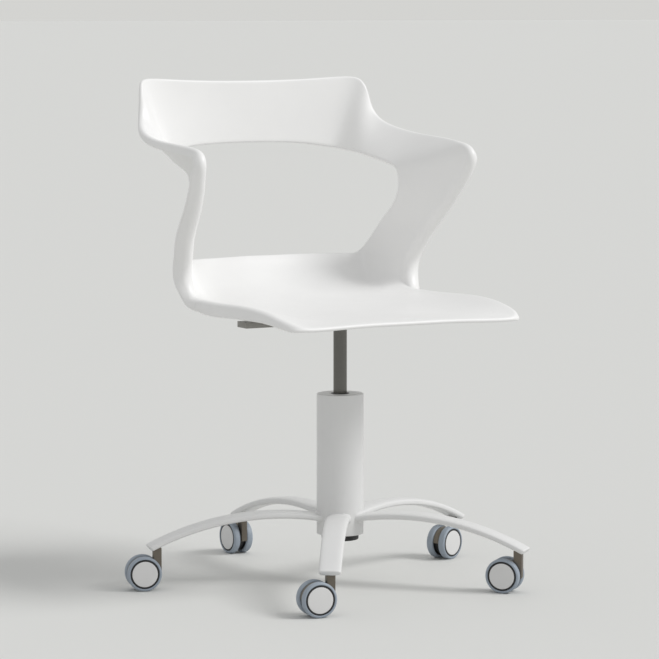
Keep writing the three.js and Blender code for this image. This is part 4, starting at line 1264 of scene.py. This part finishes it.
@dataclass
class SeatMount:
    """The plate under the shell, its socket and screws, and the release lever."""

    socket_edge: float = 1 * MM
    socket_step: float = 0.7 * MM
    screw_radius: float = 3 * MM
    head_radius: float = 6 * MM
    head_height: float = 3.5 * MM
    head_edge: float = 1.6 * MM
    recess_radius: float = 2.3 * MM
    recess_depth: float = 2 * MM
    screw_sides: int = 36
    pin_sides: int = 48
    lever_bevel: float = 0.8 * MM
    plate_bevel: float = 0.5 * MM

    def screw(self, low: float, high: float) -> Mesh:
        """Makes one pan-headed screw on Z, with a socket in its head.

        Args:
            low: Level of its head's face.
            high: Level of its point.

        Returns:
            The screw.
        """
        head, socket = low + self.head_height, low + self.recess_depth
        return Form.turned((
            (0, socket), (self.recess_radius, socket), (self.recess_radius, low),
            (self.head_radius, low, self.head_edge), (self.head_radius, head), (self.screw_radius, head),
            (self.screw_radius, high, PIN_EDGE), (0, high),
        ), sides=self.screw_sides).mesh("screw")

    def screws(self) -> Object:
        """Makes the four screws, set on the corners of a grid.

        Returns:
            The screws as one piece.
        """
        first, third = middle_of("seat_screw_1"), middle_of("seat_screw_3")
        _, low, high = round_box("seat_screw_1")
        graph = Graph("seat_screws", {"Width": abs(third.x - first.x), "Depth": abs(third.y - first.y)})
        corners = graph.node("GeometryNodeMeshGrid", n0=graph.size("Width"), n1=graph.size("Depth"),
                             n2=2, n3=2)
        ring = graph.node("GeometryNodeInstanceOnPoints", Points=corners.outputs[0],
                          Instance=graph.inputs.outputs["Geometry"])
        graph.finish_with(ring.outputs[0])
        piece = graph.grow("seat_screws", self.screw(low, high), ZINC)
        centre = (first + third) / 2
        piece.data.transform(Matrix.Translation((centre.x, centre.y, 0)))
        return piece

    def build(self) -> None:
        """Builds the mount's pieces."""
        adopt(softened("seat_plate", DARK_SHEET, self.plate_bevel), "seat", DARK_SHEET, "seat_plate")
        radius, foot, top = round_box("taper_socket")
        bore = round_box("pressure_tube")[0] + CLEARANCE
        Form.turned((
            (bore, foot, SMALL_EDGE), (radius, foot, self.socket_edge), (radius, top),
            (bore - self.socket_step, top),
        ), placed_at(COLUMN_AXIS)).put("tube_socket", DARK_SHEET, "seat", "taper_socket")
        adopt(self.screws(), "seat", ZINC, *(f"seat_screw_{number}" for number in SCREW_NUMBERS))
        adopt(softened("release_lever", DARK_SHEET, self.lever_bevel), "lever", DARK_SHEET, "release_lever")
        pin_low, pin_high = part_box("lever_pin")
        pin_radius, half = (pin_high.x - pin_low.x) / 2, (pin_high.y - pin_low.y) / 2
        place = placed_at((pin_low + pin_high) / 2, Vector((0, 1, 0)))
        Form.disc(pin_radius, half, PIN_EDGE, place, self.pin_sides).put(
            "lever_pivot_pin", ZINC, "seat", "lever_pin")


@dataclass
class Castor:
    """One twin-wheel castor."""

    name: str
    tyre_radius: float = 27.75 * MM
    tyre_edge: float = 3.4 * MM
    tyre_lip: float = 0.8 * MM
    wheel_radius: float = 23.3 * MM
    disc_radius: float = 20.5 * MM
    disc_flat_share: float = 0.8
    disc_crown: float = 0.25 * MM
    disc_edge: float = 0.35 * MM
    disc_gap: float = 0.02 * MM
    groove_depth: float = 0.8 * MM
    wheel_inner: float = 5.8 * MM
    wheel_outer: float = 18.3 * MM
    axle_radius: float = 3 * MM
    axle_cover: float = 3 * MM
    trail: float = 22.3 * MM
    thickness: float = 10.4 * MM
    post: float = 6.85 * MM
    post_tail: float = 5 * MM
    post_edge: float = 1.2 * MM
    tail_edge: float = 3 * MM
    fork_bevel: float = 1.4 * MM
    hood_radius: float = 25.5 * MM
    core_radius: float = 21 * MM
    core_gap: float = 0.2 * MM
    arc_steps: int = 40

    def fork_outline(self, top: float) -> list[tuple[float, ...]]:
        """Draws the post and hood in side view, round the core.

        Args:
            top: Level of the post's top.

        Returns:
            The outline, X being the trail and Y the height.
        """
        start = math.acos((self.post - self.trail) / self.hood_radius)
        axle = self.tyre_radius

        def arc(radius: float, first: float, last: float) -> list[tuple[float, float]]:
            """Returns points round the axle from one angle to another."""
            return [(self.trail + radius * math.cos(a), axle + radius * math.sin(a))
                    for a in np.linspace(first, last, self.arc_steps)]

        inner_end = math.pi + math.asin(self.post_tail / self.core_radius)
        return [(-self.post, axle - self.post_tail, self.tail_edge), (-self.post, top, self.post_edge),
                (self.post, top, self.post_edge), *arc(self.hood_radius, start, 0),
                *arc(self.core_radius, 0, inner_end)]

    def build(self) -> None:
        """Builds the castor's fork, core, wheels and tyres."""
        stem = Vector(JOINTS[f"{self.name}_swivel"]["pos_m"])
        roll = JOINTS[f"{self.name}_roll_a"]
        hub, axis = Vector(roll["pos_m"]), Vector(roll["axis"])
        trail, upward = Vector((hub.x - stem.x, hub.y - stem.y, 0)).normalized(), Vector((0, 0, 1))
        side_on = Matrix((trail, upward, trail.cross(upward))).transposed().to_4x4()
        side_on.translation = Vector((stem.x, stem.y, 0))
        body, fork = f"{self.name}_castor", f"{self.name}_castor_fork"
        outline = self.fork_outline(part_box(fork)[1].z)
        Form.plate(outline, self.thickness, side_on).put(
            f"{self.name}_post_and_hood", CASTOR_METAL, body, fork, bevel=self.fork_bevel)
        Form.disc(self.core_radius - self.core_gap, self.thickness / 2, TURNED_EDGE,
                  placed_at(hub, axis, upward)).put(f"{self.name}_core", BLACK_PLASTIC, body)
        coat(ZINC, f"{self.name}_castor_pin", f"{self.name}_castor_axle")
        for letter in "ab":
            self.build_wheel(letter, hub, axis)

    def build_wheel(self, letter: str, hub: Vector, axis: Vector) -> None:
        """Builds one wheel and its tyre.

        Args:
            letter: The wheel's letter.
            hub: The middle of the axle.
            axis: The axle's direction.
        """
        body = f"{self.name}_wheel_{letter}"
        outwards = axis if (middle_of(body) - hub).dot(axis) > 0 else -axis
        place = placed_at(hub, outwards, Vector((0, 0, 1)))
        bore, bore_end = self.axle_radius + CLEARANCE, self.wheel_outer - self.axle_cover
        face = self.wheel_outer - self.groove_depth
        Form.turned((
            (bore, self.wheel_inner), (self.wheel_radius, self.wheel_inner, SMALL_EDGE),
            (self.wheel_radius, face, FINE_EDGE), (0, face), (0, bore_end), (bore, bore_end),
        ), place).put(f"{self.name}_rim_{letter}", BLACK_PLASTIC, body, body)
        back, rim = face + self.disc_gap, self.wheel_outer - self.disc_crown
        Form.turned((
            (0, back), (self.disc_radius, back), (self.disc_radius, rim, self.disc_edge),
            (self.disc_radius * self.disc_flat_share, self.wheel_outer), (0, self.wheel_outer),
        ), place).put(f"{self.name}_disc_{letter}", DISC_PLASTIC, body)
        inner = self.wheel_radius + CLEARANCE
        Form.turned((
            (inner, self.wheel_inner, FINE_EDGE), (self.tyre_radius, self.wheel_inner, self.tyre_edge),
            (self.tyre_radius, self.wheel_outer, self.tyre_edge),
            (inner + self.tyre_lip, self.wheel_outer, SMALL_EDGE), (inner, self.wheel_outer - self.tyre_lip),
        ), place).put(f"{self.name}_tread_{letter}", TYRE_RUBBER, body, f"{self.name}_tyre_{letter}")


@dataclass
class Studio:
    """The plain floor, the soft light and the camera."""

    distance: float = 5.179
    height: float = 0.9272
    azimuth: float = math.radians(-29.16)
    pitch: float = math.radians(5.70)
    yaw: float = math.radians(-0.19)
    lens: float = 176.26
    sensor: float = 36.0
    sight: float = 1000.0
    floor_size: float = 400.0
    floor_colour: tuple[float, float, float] = (0.7, 0.7, 0.68)
    floor_roughness: float = 0.75
    backdrop: tuple[float, float, float] = (0.655, 0.655, 0.637)
    ambient_colour: tuple[float, float, float] = (0.98, 0.99, 1)
    ambient: float = 0.6
    sun_strength: float = 1.7
    sun_angle: float = math.radians(24)
    sun_side: float = math.radians(80)
    sun_height: float = math.radians(42)

    def stood(self, name: str, data: ID, look: Vector) -> Object:
        """Stands a camera or lamp in the scene.

        Args:
            name: Its name.
            data: Its data.
            look: The direction it looks in.

        Returns:
            The new object.
        """
        thing = bpy.data.objects.new(name, data)
        bpy.context.scene.collection.objects.link(thing)
        thing.rotation_euler = look.to_track_quat("-Z", "Y").to_euler()
        return thing

    def camera(self) -> None:
        """Sets the camera at the photograph's angle and distance."""
        data = bpy.data.cameras.new("camera")
        data.sensor_width, data.lens, data.clip_end = self.sensor, self.lens, self.sight
        turn = Matrix.Rotation(self.azimuth, 3, "Z")
        level = math.cos(self.pitch)
        look = turn @ Vector((math.sin(self.yaw) * level, math.cos(self.yaw) * level, -math.sin(self.pitch)))
        camera = self.stood("camera", data, look)
        camera.location = turn @ Vector((0, -self.distance, self.height)) + COLUMN_AXIS
        bpy.context.scene.camera = camera

    def floor(self) -> None:
        """Lays the plain pale floor."""
        half = self.floor_size / 2
        corners = [(-half, -half, 0), (half, -half, 0), (half, half, 0), (-half, half, 0)]
        mesh = bpy.data.meshes.new("floor")
        mesh.from_pydata(corners, [], [(0, 1, 2, 3)])
        material = bpy.data.materials.new("pale_floor")
        material.use_nodes = True
        tree = material.node_tree
        wire(tree, tree.nodes["Principled BSDF"], Base_Color=(*self.floor_colour, 1),
             Roughness=self.floor_roughness)
        mesh.materials.append(material)
        floor = bpy.data.objects.new("floor", mesh)
        bpy.context.scene.collection.objects.link(floor)

    def sky(self) -> None:
        """Makes the world a soft white, as pale as the floor where it is seen directly or mirrored."""
        world = bpy.data.worlds.new("studio")
        bpy.context.scene.world = world
        world.use_nodes = True
        tree = world.node_tree
        tree.nodes.clear()
        ray = add_node(tree, "ShaderNodeLightPath").outputs
        seen = Value(tree, ray["Is Camera Ray"]).op("MAXIMUM", ray["Is Glossy Ray"])
        seen = seen.op("MAXIMUM", ray["Is Transmission Ray"])
        light, backdrop = (
            add_node(tree, "ShaderNodeBackground", Color=(*colour, 1), Strength=strength).outputs[0]
            for colour, strength in ((self.ambient_colour, self.ambient), (self.backdrop, 1)))
        mix = add_node(tree, "ShaderNodeMixShader", n0=seen, n1=light, n2=backdrop)
        add_node(tree, "ShaderNodeOutputWorld", Surface=mix.outputs[0])

    def sun(self) -> None:
        """Hangs the broad key light, to the right of the camera and above."""
        data = bpy.data.lights.new("key", "SUN")
        data.energy = self.sun_strength
        data.angle = self.sun_angle
        side = self.azimuth + self.sun_side
        level = math.cos(self.sun_height)
        source = Vector((math.sin(side) * level, -math.cos(side) * level, math.sin(self.sun_height)))
        self.stood("key", data, -source)

    def build(self) -> None:
        """Builds the whole studio."""
        self.camera()
        self.floor()
        self.sky()
        self.sun()
        bpy.context.scene.view_settings.view_transform = "Standard"


def main() -> None:
    """Builds the chair around its frame, then the studio."""
    logging.basicConfig(level=logging.INFO, format="%(name)s: %(message)s")
    castors = [node.removesuffix("_arm") for node in SCENE_NODES if node.endswith("_arm")]
    order = sorted(castors, key=arm_turn)
    Studio().build()
    Shell().build()
    SeatMount().build()
    Column().build()
    Arms().build(order)
    for name in order:
        Castor(name).build()


def arm_turn(name: str) -> float:
    """Returns an arm's direction round the column, from 0 to a full turn."""
    spoke = Vector(JOINTS[f"{name}_swivel"]["pos_m"]) - COLUMN_AXIS
    return math.atan2(spoke.y, spoke.x) % FULL_TURN


if __name__ == "__main__":
    main()
